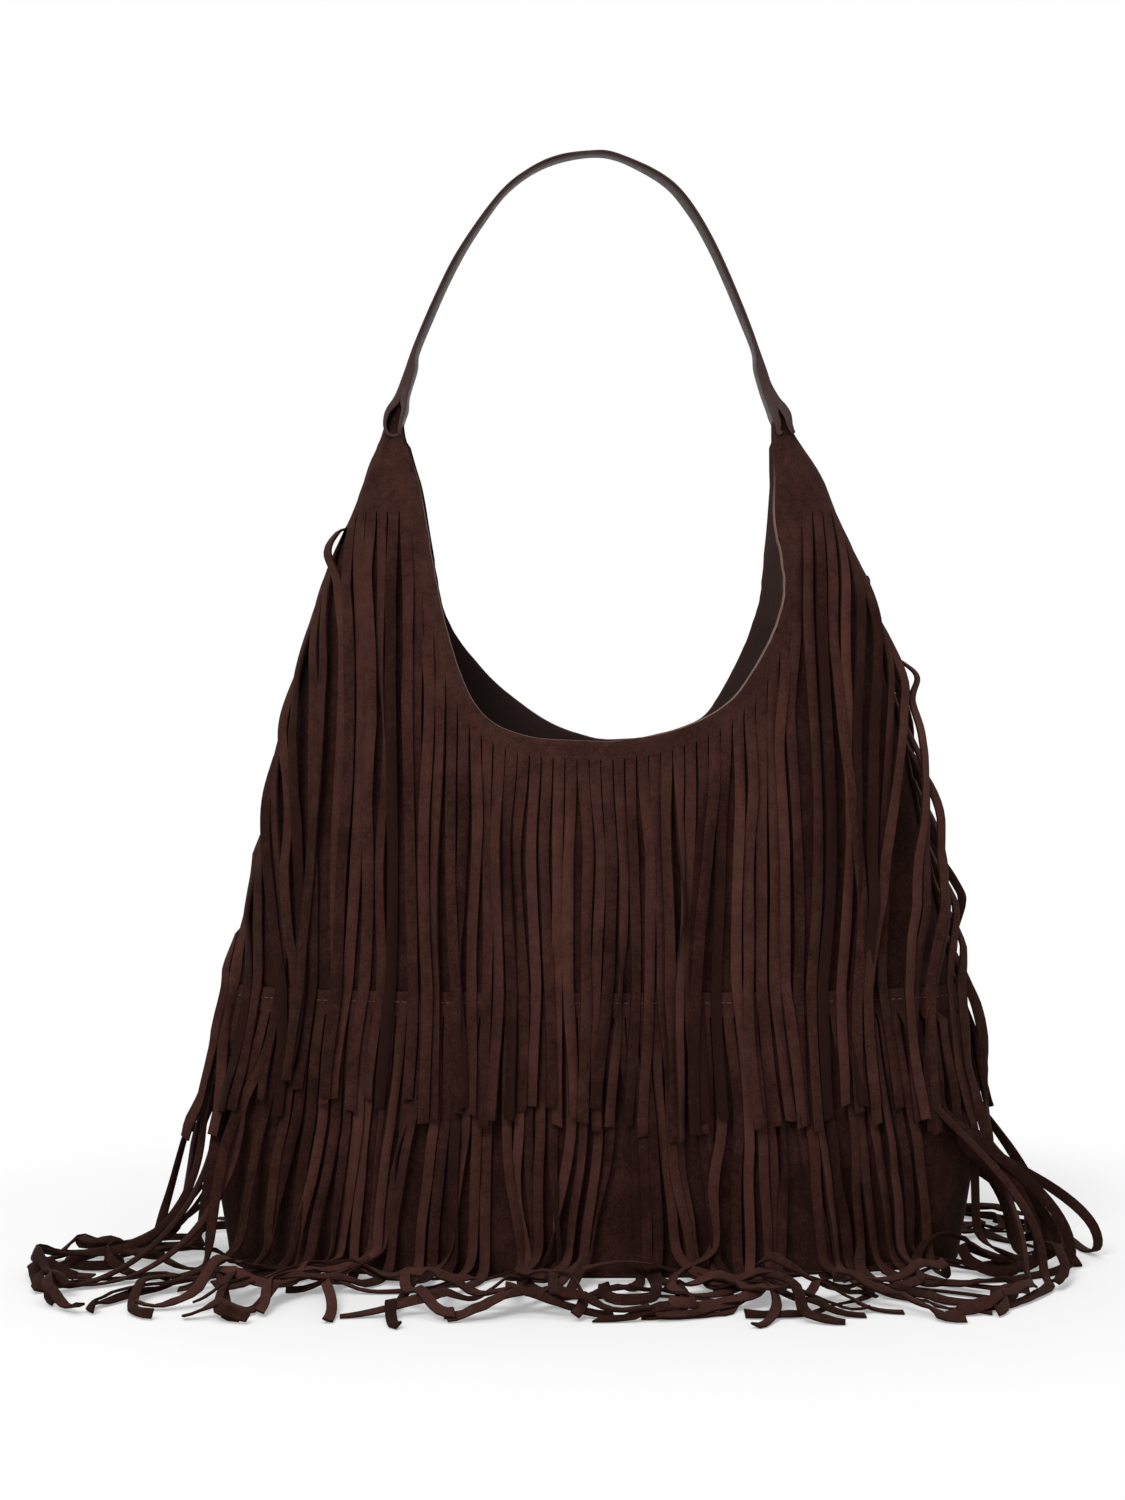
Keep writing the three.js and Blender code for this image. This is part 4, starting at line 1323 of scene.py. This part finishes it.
def lower_strip(rng, face, middle, clump, layers, floor_layers, thickness):
    """Rows of one strip of the lower tier: down the body, round the bend and out over the floor."""
    side = SIDES[face]
    start = BAND_HEIGHT - BAND_WIDTH
    outer = float(near_seam(abs(middle) / half_length(BAND_HEIGHT)))
    total = LOWER_LENGTH * rng.uniform(*LENGTH_SHARES)
    loose = rng.uniform(0.2, 1.15)
    curl = rng.uniform(*(CALM if rng.random() < CALM_SHARE else CURLY))
    offset, height, heading, even_bend, arches = set_off(rng, face, middle, clump[1])
    bend_top = height + BEND_ROOM
    # The drift down to the bend is worked out at the foot too, from the same draws, to find where it lands.
    sweep = (rng.uniform(4, 9) * (1 - outer) + 2) * MM * math.cos(heading)
    state = rng.bit_generator.state
    foot_depth = np.array([start - bend_top])
    foot_drift = strip_drift(rng, middle, clump, foot_depth, foot_depth[0], LOWER_LEAN, LOWER_KICK)
    foot_drift = foot_drift + sweep
    rng.bit_generator.state = state
    point, outward, _ = hang_frame(side, middle + foot_drift, np.array([bend_top]), loose)
    foot = point[0] + outward[0] * FOOT_OUT
    way = direction(heading)
    landing = foot[:2] + offset
    bend_length = math.pi / 2 * math.hypot(height, *offset) / math.sqrt(2)
    length = max(total - (start - height) - bend_length, LEAST_LYING)
    lying, lying_across, lying_roll = lying_part(
        rng, side, landing, heading, length, even_bend, curl, floor_layers, thickness
    )
    lift = lying[0, 2]
    # The wall part, which ends where the bend begins.
    count = max(int((start - bend_top) / ROW_STEP), 6)
    z = np.linspace(start, max(bend_top, lift + LEAST_FALL), count + 1)[1:]
    depth = start - z
    drift = strip_drift(rng, middle, clump, depth, start - bend_top, LOWER_LEAN, LOWER_KICK)
    drift = drift + sweep * smooth_step((depth / depth[-1] - 0.45) / 0.55)
    wall_roll = strip_roll(rng, depth, LOWER_TURNS)
    wall_rise = np.abs(np.sin(wall_roll)) * STRIP_WIDTH / 2
    along = middle + drift
    pile = 0.7 * HANGING_PILE
    wall_line = lay_on_face(layers, along, z, depth, wall_rise, pile, LOWER_HELD, 0, thickness)
    point, outward, across = hang_frame(side, along, z, loose)
    hanging = point + outward * (wall_line + thickness / 2)[:, None]
    # The bend, from the end of the wall part to the landing place.
    bend = bend_line(hanging[-1], landing, lift, way, arches, max(int(bend_length / ROW_STEP), 4))
    centre = np.concatenate([hanging, bend, lying])
    centre = soften(centre, len(hanging) - 3, len(hanging) + len(bend) + (1 if arches else 3))
    wall_across = np.concatenate([across, np.repeat(across[-1:], len(bend) + len(lying), axis=0)])
    floor_across = np.repeat(lying_across[:1], len(z) + len(bend), axis=0)
    floor_across = np.concatenate([floor_across, lying_across])
    place = np.arange(len(centre))
    share_floor = smooth_step((place - len(z) + 7) / (len(bend) + 7))[:, None]
    ways = wall_across * (1 - share_floor) + floor_across * share_floor
    roll = np.concatenate([wall_roll, np.linspace(wall_roll[-1], lying_roll[0], len(bend)), lying_roll])
    cup = rng.normal(0, CUP) * smooth_step(place / 8)
    width = np.full(len(centre), STRIP_WIDTH * rng.uniform(*WIDTH_SHARES))
    rows = ribbon_rows(centre, ways, roll, cup, width)
    rows = slant_end(rows, rng.normal(0, LOWER_SLANT))
    # The strip's own tone, less painted shade towards the sides.
    own = strip_tone(rng, LOWER_TONE, SIDE_PAINTED_SHADE * outer)
    return rows, BAND_TONE + (own - BAND_TONE) * smooth_step(place / 9)


def soften(points, first, last):
    """Takes the corners out of a stretch of a line."""
    first = max(first, 1)
    last = min(last, len(points) - 1)
    for _ in range(3):
        middle = (points[first - 1 : last - 1] + 2 * points[first:last] + points[first + 1 : last + 1]) / 4
        points[first:last] = middle
    return points


def lower_tier(face, layers, floor_layers):
    """A whole lower tier: the band that is sewn to the panel, and its strips."""
    rng = np.random.default_rng(LOWER_SEED[face])
    side = SIDES[face]
    thickness = bpy.context.scene.bag_sizes.suede
    middles = strip_middles()
    centres, leans = clumps(rng, middles)
    comb = Comb(flip=side > 0)
    columns = np.concatenate([[m + k * STRIP_WIDTH / 2 for k in (-1, 0, 1)] for m in middles])
    ids = []
    for z in np.linspace(BAND_HEIGHT, BAND_HEIGHT - BAND_WIDTH, 4):
        point, outward, _ = hang_frame(side, columns, np.full(len(columns), z))
        ids.append(comb.add(point + outward * (YOKE_OUT + thickness / 2), BAND_TONE))
    for upper, lower in zip(ids, ids[1:]):
        for k in range(len(columns) - 1):
            comb.face((lower[k], lower[k + 1], upper[k + 1], upper[k]))
    band_spots = np.stack([columns, np.full(len(columns), BAND_HEIGHT - BAND_WIDTH / 2)], -1)
    upright = np.broadcast_to([0.0, 1.0], band_spots.shape)
    layers.cover(band_spots, upright, BAND_WIDTH / 2, np.full(len(columns), YOKE_OUT + thickness))
    for index in rng.permutation(len(middles)):
        clump = (centres[index], leans[index])
        rows, tones = lower_strip(rng, face, middles[index], clump, layers, floor_layers, thickness)
        comb.ribbon(ids[-1][3 * index : 3 * index + 3], rows, tones)
    obj = tier_object(comb, face, "lower", thickness)


# What already hangs on each face, and what already lies on the floor.
HANGING = {}
# Cells of these grids, and how far the ones of the faces go beyond the seams.
FACE_CELL = (0.7 * MM, 3 * MM)
FLOOR_CELL = (1.4 * MM, 1.4 * MM)
FACE_ROOM = 20 * MM


def layer_grids():
    """The grids in which the tiers of fringe are laid, made when they are first asked for."""
    if not HANGING:
        reach = half_length(WIDEST) + FACE_ROOM
        for face in SIDES:
            HANGING[face] = Layers((-reach, 0), (reach, HORN_HEIGHT), FACE_CELL)
        room = ROOM_LEFT.max()
        HANGING["floor"] = Layers((-room, -REACH_Y), (room, REACH_Y), FLOOR_CELL)
    return HANGING


# A stitch takes this share of its pitch. It rises by so much of the thread's thickness, dips by so much at
# its ends and gets thinner there.
STITCH_SHARE = 0.78
STITCH_RISE = 0.35
STITCH_DIP = 0.75
STITCH_TAPER = 0.35


def stitches(name, lines, thread, pitch, colour, slot):
    """Stitches along lines of points with outward directions: short threads that dip at their ends."""
    sides = 6
    rings = 5
    points, faces = [], []
    for line, outward in lines:
        run = run_along(line)
        for begin in np.arange(pitch / 2, run[-1] - pitch, pitch):
            spots = np.linspace(begin, begin + STITCH_SHARE * pitch, rings)
            centre = points_at(spots, run, line)
            out = points_at(spots, run, outward)
            share = np.linspace(-1, 1, rings)
            centre = centre + out * (thread * (STITCH_RISE - STITCH_DIP * share**4))[:, None]
            way = centre[-1] - centre[0]
            way /= np.linalg.norm(way)
            first = len(points)
            for spot, up, along_share in zip(centre, out, share):
                other = np.cross(way, up)
                other /= np.linalg.norm(other)
                size = thread / 2 * (1 - STITCH_TAPER * abs(along_share) ** 3)
                for k in range(sides):
                    angle = 2 * math.pi * k / sides
                    points.append(spot + (up * math.sin(angle) + other * math.cos(angle)) * size)
            faces += tube_faces(first, rings, sides)
    obj = mesh_object(name, points, faces)
    dress(obj, colour)
    settle(obj, slot)


def line_on_body(side, along, z, out):
    point, outward, _ = body_frame(side, along, z)
    return point + outward * out, outward


class BAG_OT_panels(bpy.types.Operator):
    """Body panels of suede."""

    bl_idname = "bag.panels"
    bl_label = "Body panels"

    def execute(self, context):
        thickness = context.scene.bag_sizes.suede
        for face in SIDES:
            obj = wall(f"{face}_body_panel", face, -thickness / 2, thickness, 0)
            dress(obj, "brushed_suede", "raw_edge")
            settle(obj, "suede_inside", f"{face}_panel")
        return {"FINISHED"}


class BAG_OT_linings(bpy.types.Operator):
    """Linings of the two faces and the base."""

    bl_idname = "bag.linings"
    bl_label = "Linings"

    def execute(self, context):
        out = LINING_OUT - LINING_THICKNESS / 2
        for face in SIDES:
            obj = wall(f"{face}_inner_face", face, out, LINING_THICKNESS, RIM_DROP_OF_LINING)
            dress(obj, "lining_weave", "raw_edge")
            settle(obj, "lining", f"{face}_lining")
        obj = base_sheet("base_inner_face", BASE_LINING_HEIGHT, LINING_THICKNESS, BASE_LINING_OUT)
        dress(obj, "lining_weave", "lining_weave")
        settle(obj, "lining", "base_lining")
        return {"FINISHED"}


def base_sheet(name, height, thickness, out):
    """A flat sheet inside the foot of the body, with soft creases."""
    steps = 48
    along_share = np.linspace(-1, 1, steps + 1)
    length = half_length(height)
    front, back = (on_body(side, along_share * length, height, out) for side in (-1, 1))
    rows = 12
    points = []
    for a, b in zip(front, back):
        for k in range(rows + 1):
            point = a + (b - a) * k / rows
            point[2] = height
            points.append(point)
    # The two ends close to a point at the seams, so their columns are narrow but not empty.
    faces = grid_faces(steps + 1, rows + 1, flip=False)
    obj = mesh_object(name, points, faces, tone=0.4)
    thicken(obj, thickness, 0.25 * thickness)
    return obj


class BAG_OT_base(bpy.types.Operator):
    """Base panel of suede."""

    bl_idname = "bag.base"
    bl_label = "Base"

    def execute(self, context):
        thickness = context.scene.bag_sizes.suede
        obj = base_sheet("base_sheet", thickness / 2 + BASE_GAP, thickness, BASE_OUT)
        dress(obj, "brushed_suede", "raw_edge")
        settle(obj, "suede", "base_panel")
        return {"FINISHED"}


class BAG_OT_closure_patches(bpy.types.Operator):
    """Suede patches inside the rim, where the bag closes."""

    bl_idname = "bag.closure_patches"
    bl_label = "Closure patches"

    def execute(self, context):
        thickness = context.scene.bag_sizes.suede
        for face in SIDES:
            low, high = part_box(f"{face}_closure_patch")
            columns, rows = 24, 16
            along = np.linspace(low.x, high.x, columns + 1)[:, None]
            z = np.linspace(low.z, high.z - PATCH_DROP, rows + 1)[None, :]
            along, z = np.broadcast_arrays(along, z)
            out = PATCH_OUT - thickness / 2
            points = on_body(SIDES[face], along, z, out).reshape(-1, 3)
            faces = grid_faces(columns + 1, rows + 1, flip=SIDES[face] > 0)
            obj = mesh_object(f"{face}_patch", points, faces, tone=0.5)
            thicken(obj, thickness, 0.3 * MM)
            dress(obj, "inner_suede", "raw_edge")
            settle(obj, "suede_inside", f"{face}_closure_patch")
        return {"FINISHED"}


class BAG_OT_lower_fringe(bpy.types.Operator):
    """Lower tiers of fringe, which spread over the floor."""

    bl_idname = "bag.lower_fringe"
    bl_label = "Lower fringe"

    def execute(self, context):
        grids = layer_grids()
        for face in ("back", "front"):
            lower_tier(face, grids[face], grids["floor"])
        return {"FINISHED"}


class BAG_OT_upper_fringe(bpy.types.Operator):
    """Upper tiers of fringe, cut into the sheets that cover the horns and the rim."""

    bl_idname = "bag.upper_fringe"
    bl_label = "Upper fringe"

    def execute(self, context):
        grids = layer_grids()
        for face in SIDES:
            upper_tier(face, grids[face])
        return {"FINISHED"}


# Outer face of the strap from the left horn to the right one: distance from the middle, and height, in
# millimetres.
STRAP_ARCH = [
    (-89.7, 454.2), (-79.2, 479), (-66.7, 503.7), (-47.4, 531), (-32.3, 543.4), (-17.6, 549.9), (-1,
    552.1), (8.5, 551.6), (20.7, 547), (32.2, 541), (41.2, 533.8), (50, 522.5), (58.9, 507.2), (67.7,
    488.3), (77.3, 465), (81, 455),
]
# The ends of the plies, from below upwards. They bulge over the tip of the horn, and one of each pair curls
# under at the bottom.
OUTER_LEFT = [
    (-96.5, 411.3), (-98.6, 410.2), (-101.4, 410.6), (-103.6, 412.8), (-104.6, 416), (-104.5, 419.5),
    (-103.9, 422.6), (-102.4, 425.8), (-99.6, 429.8), (-97.4, 434.6), (-93.5, 444.3),
]
INNER_LEFT = [
    (-95.2, 411.6), (-95.8, 414), (-95.2, 417), (-94, 420.6), (-92.8, 424.6), (-92.2, 431), (-88.6, 444.3),
]
OUTER_RIGHT = [
    (99.6, 412.6), (98.4, 416), (98, 419.5), (97.2, 423), (94.6, 426.8), (91.8, 429.8), (87.6, 437), (85,
    444.3),
]
INNER_RIGHT = [
    (93.6, 412.9), (92.2, 411), (90.4, 411), (89.5, 413), (89.4, 416.4), (87.8, 420), (86.2, 424.6),
    (84.3, 429.6), (82.6, 434.6), (80, 444.3),
]
# Thickness of a ply on the left and on the right by height, in shares of the leather's: it is padded where it
# bulges.
PLY_HEIGHTS = np.array([411, 418, 424, 429, 435, 444, 460]) * MM
PLY_SHARES = {
    -1: np.array([1.4, 1.6, 2.4, 3.3, 3.1, 2.3, 1.0]),
    1: np.array([1.6, 3.0, 4.0, 3.9, 3.2, 2.3, 1.0]),
}


def smooth_line(points, count):
    """Even steps along a smooth curve through the given points."""
    points = np.array(points, float)
    before = 2 * points[:1] - points[1:2]
    after = 2 * points[-1:] - points[-2:-1]
    points = np.concatenate([before, points, after])
    step = np.linspace(0, 1, 24, endpoint=False)[:, None]
    pieces = []
    for a, b, c, d in zip(points, points[1:], points[2:], points[3:]):
        cubic = 2 * b + (c - a) * step + (2 * a - 5 * b + 4 * c - d) * step**2
        cubic += (3 * b - a - 3 * c + d) * step**3
        pieces.append(cubic / 2)
    line = np.concatenate([*pieces, points[-2:-1]])
    run = run_along(line)
    return points_at(np.linspace(0, run[-1], count), run, line)


def left_normals(line):
    """Directions to the left of a line, in its own plane."""
    way = tangents(line)
    return np.stack([-way[:, 1], way[:, 0]], -1)


def ply_line(inside, leather):
    """Middle line of a ply of the strap, and the ply's thickness along it."""
    if inside:
        arch = smooth_line(STRAP_ARCH, 16)
        arch = arch - left_normals(arch) * (2 * leather / MM + 0.1)
        ends = (INNER_LEFT, INNER_RIGHT)
    else:
        arch = np.array(STRAP_ARCH)
        ends = (OUTER_LEFT, OUTER_RIGHT)
    face = smooth_line([*ends[0], *arch, *ends[1][::-1]], 190) * MM
    shares = [np.interp(face[:, 1], PLY_HEIGHTS, PLY_SHARES[sign]) for sign in (-1, 1)]
    thickness = leather * np.where(face[:, 0] < 0, *shares)
    into = 1 if inside else -1
    return face + left_normals(face) * (into * thickness / 2)[:, None], thickness


def ply_outline(width, thickness, edge):
    """Section of a ply, a flat rectangle with rounded edges, and which of its points are on the cut edges."""
    outline, cut = [], []
    for quarter, (a, b) in enumerate([(1, 1), (-1, 1), (-1, -1), (1, -1)]):
        for k in range(4):
            angle = math.pi / 2 * (quarter + k / 3)
            across = a * (width / 2 - edge) + edge * math.cos(angle)
            up = b * (thickness / 2 - edge) + edge * math.sin(angle)
            outline.append((across, up))
            cut.append(1.0 if abs(math.cos(angle)) > 0.3 else 0.0)
        if quarter in (0, 2):
            outline.append((0, b * thickness / 2))
            cut.append(0.0)
    return outline, cut


# How far the strap turns about its own line, by the distance from the middle.
STRAP_TURN_AT = np.array([-96, -88, -70, -45, 15, 45, 75, 95]) * MM
STRAP_TURN = np.radians([0, -7, -5, 0, 0, -8, -7, 0])
# The ends of the plies get wider by this share towards their foot, over this height.
STRAP_FLARE = 0.62
STRAP_FOOT = 412 * MM
FLARE_LENGTH = 26 * MM
PLY_EDGE = 0.4 * MM


def strap_ply(place, leather, width):
    """One ply of the strap. Its ends part from the other ply's and hold a horn tip between them."""
    line, thickness = ply_line(place == "inner", leather)
    turns = np.interp(line[:, 0], STRAP_TURN_AT, STRAP_TURN)
    flare = 1 + STRAP_FLARE * (1 - smooth_step((line[:, 1] - STRAP_FOOT) / FLARE_LENGTH))
    points, cuts = [], []
    for (x, z), (nx, nz), size, turn, wider in zip(line, left_normals(line), thickness, turns, flare):
        spin = Matrix.Rotation(turn, 3, Vector((nz, 0, -nx)))
        up = spin @ Vector((nx, 0, nz))
        deep = spin @ Vector((0, 1, 0))
        outline, cut = ply_outline(width * wider, size, PLY_EDGE)
        cuts += cut
        points += [Vector((x, 0, z)) + deep * a + up * b for a, b in outline]
    faces = tube_faces(0, len(line), len(outline))
    obj = mesh_object(f"strap_{place}", points, faces, edge=cuts)
    dress(obj, "smooth_leather")
    settle(obj, "strap_leather", f"strap_{place}_ply")


class BAG_OT_strap(bpy.types.Operator):
    """Strap of two plies that hold the horn tips between their ends."""

    bl_idname = "bag.strap"
    bl_label = "Strap"

    def execute(self, context):
        sizes = context.scene.bag_sizes
        for place in ("outer", "inner"):
            strap_ply(place, sizes.strap_leather, sizes.strap_width)
        return {"FINISHED"}


# Where the stitches run: inside the rim, below the band's upper edge, and over the front's closure patch, at
# this height and between these distances from the middle in millimetres.
RIM_STITCH_INSET = 2.6 * MM
BAND_STITCH_DROP = 5 * MM
CLOSURE_STITCHES = (-26, 22)
CLOSURE_STITCH_HEIGHT = 254.6 * MM


class BAG_OT_stitching(bpy.types.Operator):
    """Stitching of the rim, the bands and the closure patches."""

    bl_idname = "bag.stitching"
    bl_label = "Stitching"

    def execute(self, context):
        sizes = context.scene.bag_sizes
        thread, pitch = sizes.thread, sizes.stitch_pitch
        yoke_face = YOKE_OUT + sizes.suede
        for face, side in SIDES.items():
            outline = upper_outline(face)
            left_tip, right_tip = horn_tips(outline)
            rim = outline[left_tip[-1] : right_tip[0] + 1, :2]
            inset = rim - left_normals(rim) * RIM_STITCH_INSET
            rim_line = line_on_body(side, inset[:, 0], inset[:, 1], yoke_face)
            stitches(f"{face}_rim_stitches", [rim_line], thread, pitch, "thread_dark", "suede")
            half = half_length(BAND_HEIGHT)
            along = np.linspace(-half, half, 160)
            z = np.full(160, BAND_HEIGHT - BAND_STITCH_DROP)
            point, outward, _ = hang_frame(side, along, z)
            band_line = (point + outward * yoke_face, outward)
            stitches(f"{face}_band_stitches", [band_line], thread, pitch, "thread_pale", "suede")
        along = np.linspace(*CLOSURE_STITCHES, 30) * MM
        line = line_on_body(SIDES["front"], along, CLOSURE_STITCH_HEIGHT, yoke_face)
        stitches("closure_stitches", [line], thread, pitch, "thread_dark", "suede")
        return {"FINISHED"}


class BAG_OT_stage(bpy.types.Operator):
    """Pale floor, soft studio light and the camera."""

    bl_idname = "bag.stage"
    bl_label = "Stage"

    def execute(self, context):
        floor_sheet(tuple(context.scene.bag_colours.floor))
        white_world()
        for name, (place, size, power) in LAMPS.items():
            lamp(name, place, size, power)
        camera(context.scene)
        context.scene.view_settings.view_transform = "Standard"
        return {"FINISHED"}


def seen_as_white(made, lit, share):
    """Shows plain white in place of the lit surface to the camera, in gloss and through glass."""
    path = made.add("ShaderNodeLightPath")
    rays = path.outputs["Is Camera Ray"]
    for name in ("Is Glossy Ray", "Is Transmission Ray"):
        rays = made.math("MAXIMUM", rays, path.outputs[name])
    white = made.add("ShaderNodeEmission", {"Color": (1, 1, 1, 1), "Strength": 1})
    inputs = {0: made.math("MULTIPLY", rays, share), 1: lit, 2: white.outputs["Emission"]}
    return made.add("ShaderNodeMixShader", inputs).outputs["Shader"]


# The floor goes over into plain white between these distances from the bag. Near the bag it is already white
# by this share.
FLOOR_WHITE_NEAR = 0.3
FLOOR_NEAR = 0.24
FLOOR_FAR = 0.5
FLOOR_SIZE = 6


def floor_sheet(colour):
    """A wide floor that is lit near the bag and plain white further off."""
    corners = [(-1, -1), (1, -1), (1, 1), (-1, 1)]
    obj = mesh_object("floor", [(x * FLOOR_SIZE, y * FLOOR_SIZE, 0) for x, y in corners], [(0, 1, 2, 3)])
    made = Finish("floor")
    made.set(Base_Color=colour, Roughness=0.9, Specular_IOR_Level=0.1)
    distance = made.add("ShaderNodeVectorMath", {"Vector": made.place}, operation="LENGTH")
    share = made.spread(distance.outputs["Value"], FLOOR_WHITE_NEAR, 1, FLOOR_NEAR, FLOOR_FAR)
    share.node.interpolation_type = "SMOOTHSTEP"
    made.feed(made.output, "Surface", seen_as_white(made, made.shader.outputs["BSDF"], share))
    obj.data.materials.append(made.material)


WORLD_LIGHT = 0.5


def white_world():
    """Soft light all round, which shows as white behind the bag and in its gloss."""
    world = bpy.data.worlds.new("studio")
    world.use_nodes = True
    made = Nodes(world.node_tree)
    light = made.add("ShaderNodeBackground", {"Color": (1, 1, 1, 1), "Strength": WORLD_LIGHT})
    surface = seen_as_white(made, light.outputs["Background"], 1)
    made.add("ShaderNodeOutputWorld", {"Surface": surface})
    bpy.context.scene.world = world


# Place, diameter in metres and power in watts of each lamp, and the point that all of them face.
LAMPS = {
    "key": ((-0.8, -2.1, 2.0), 1.3, 58),
    "fill": ((1.8, -1.7, 0.8), 1.6, 5),
    "top": ((0.1, 0.5, 2.4), 1.8, 14),
}
LAMP_AIM = Vector((0, 0, 0.25))


def lamp(name, place, size, power):
    data = bpy.data.lights.new(name, "AREA")
    data.shape = "DISK"
    data.size = size
    data.energy = power
    obj = new_object(name, data)
    obj.location = place
    obj.rotation_euler = (LAMP_AIM - Vector(place)).to_track_quat("-Z", "Y").to_euler()


# The camera stands this far in front of the bag, looks down by this angle, and sees 0.5 mm in each pixel.
CAMERA_DISTANCE = 1.5
CAMERA_ELEVATION = math.radians(2)
AIM = Vector((-15.75 * MM, 0, 255 * MM))
IMAGE_HEIGHT = 1500
FOCAL_PIXELS = 3000
SENSOR = 36


def camera(scene):
    data = bpy.data.cameras.new("camera")
    data.sensor_width = SENSOR
    data.lens = SENSOR * FOCAL_PIXELS / IMAGE_HEIGHT
    obj = new_object("camera", data)
    back = Vector((0, -math.cos(CAMERA_ELEVATION), math.sin(CAMERA_ELEVATION)))
    obj.location = AIM + back * CAMERA_DISTANCE
    obj.rotation_euler = (-back).to_track_quat("-Z", "Y").to_euler()
    data.clip_start = 0.05
    data.clip_end = 50
    scene.camera = obj


class BAG_PT_pieces(bpy.types.Panel):
    """Sizes, colours and pieces of the bag."""

    bl_idname = "BAG_PT_pieces"
    bl_label = "Suede bag"
    bl_space_type = "VIEW_3D"
    bl_region_type = "UI"
    bl_category = "Suede bag"

    def draw(self, context):
        layout = self.layout
        for group in (context.scene.bag_sizes, context.scene.bag_colours):
            for name in group.__annotations__:
                layout.prop(group, name)
        for operator in OPERATORS:
            layout.operator(operator.bl_idname)


OPERATORS = (
    BAG_OT_panels,
    BAG_OT_linings,
    BAG_OT_base,
    BAG_OT_closure_patches,
    BAG_OT_lower_fringe,
    BAG_OT_upper_fringe,
    BAG_OT_strap,
    BAG_OT_stitching,
    BAG_OT_stage,
)
CLASSES = (BagSizes, BagColours, *OPERATORS, BAG_PT_pieces)


def register():
    for cls in CLASSES:
        bpy.utils.register_class(cls)
    bpy.types.Scene.bag_sizes = bpy.props.PointerProperty(type=BagSizes)
    bpy.types.Scene.bag_colours = bpy.props.PointerProperty(type=BagColours)


def unregister():
    del bpy.types.Scene.bag_colours
    del bpy.types.Scene.bag_sizes
    for cls in reversed(CLASSES):
        bpy.utils.unregister_class(cls)


def main():
    register()
    bpy.ops.bag.panels()
    bpy.ops.bag.linings()
    bpy.ops.bag.base()
    bpy.ops.bag.closure_patches()
    bpy.ops.bag.lower_fringe()
    bpy.ops.bag.upper_fringe()
    bpy.ops.bag.strap()
    bpy.ops.bag.stitching()
    bpy.ops.bag.stage()


if __name__ == "__main__":
    main()
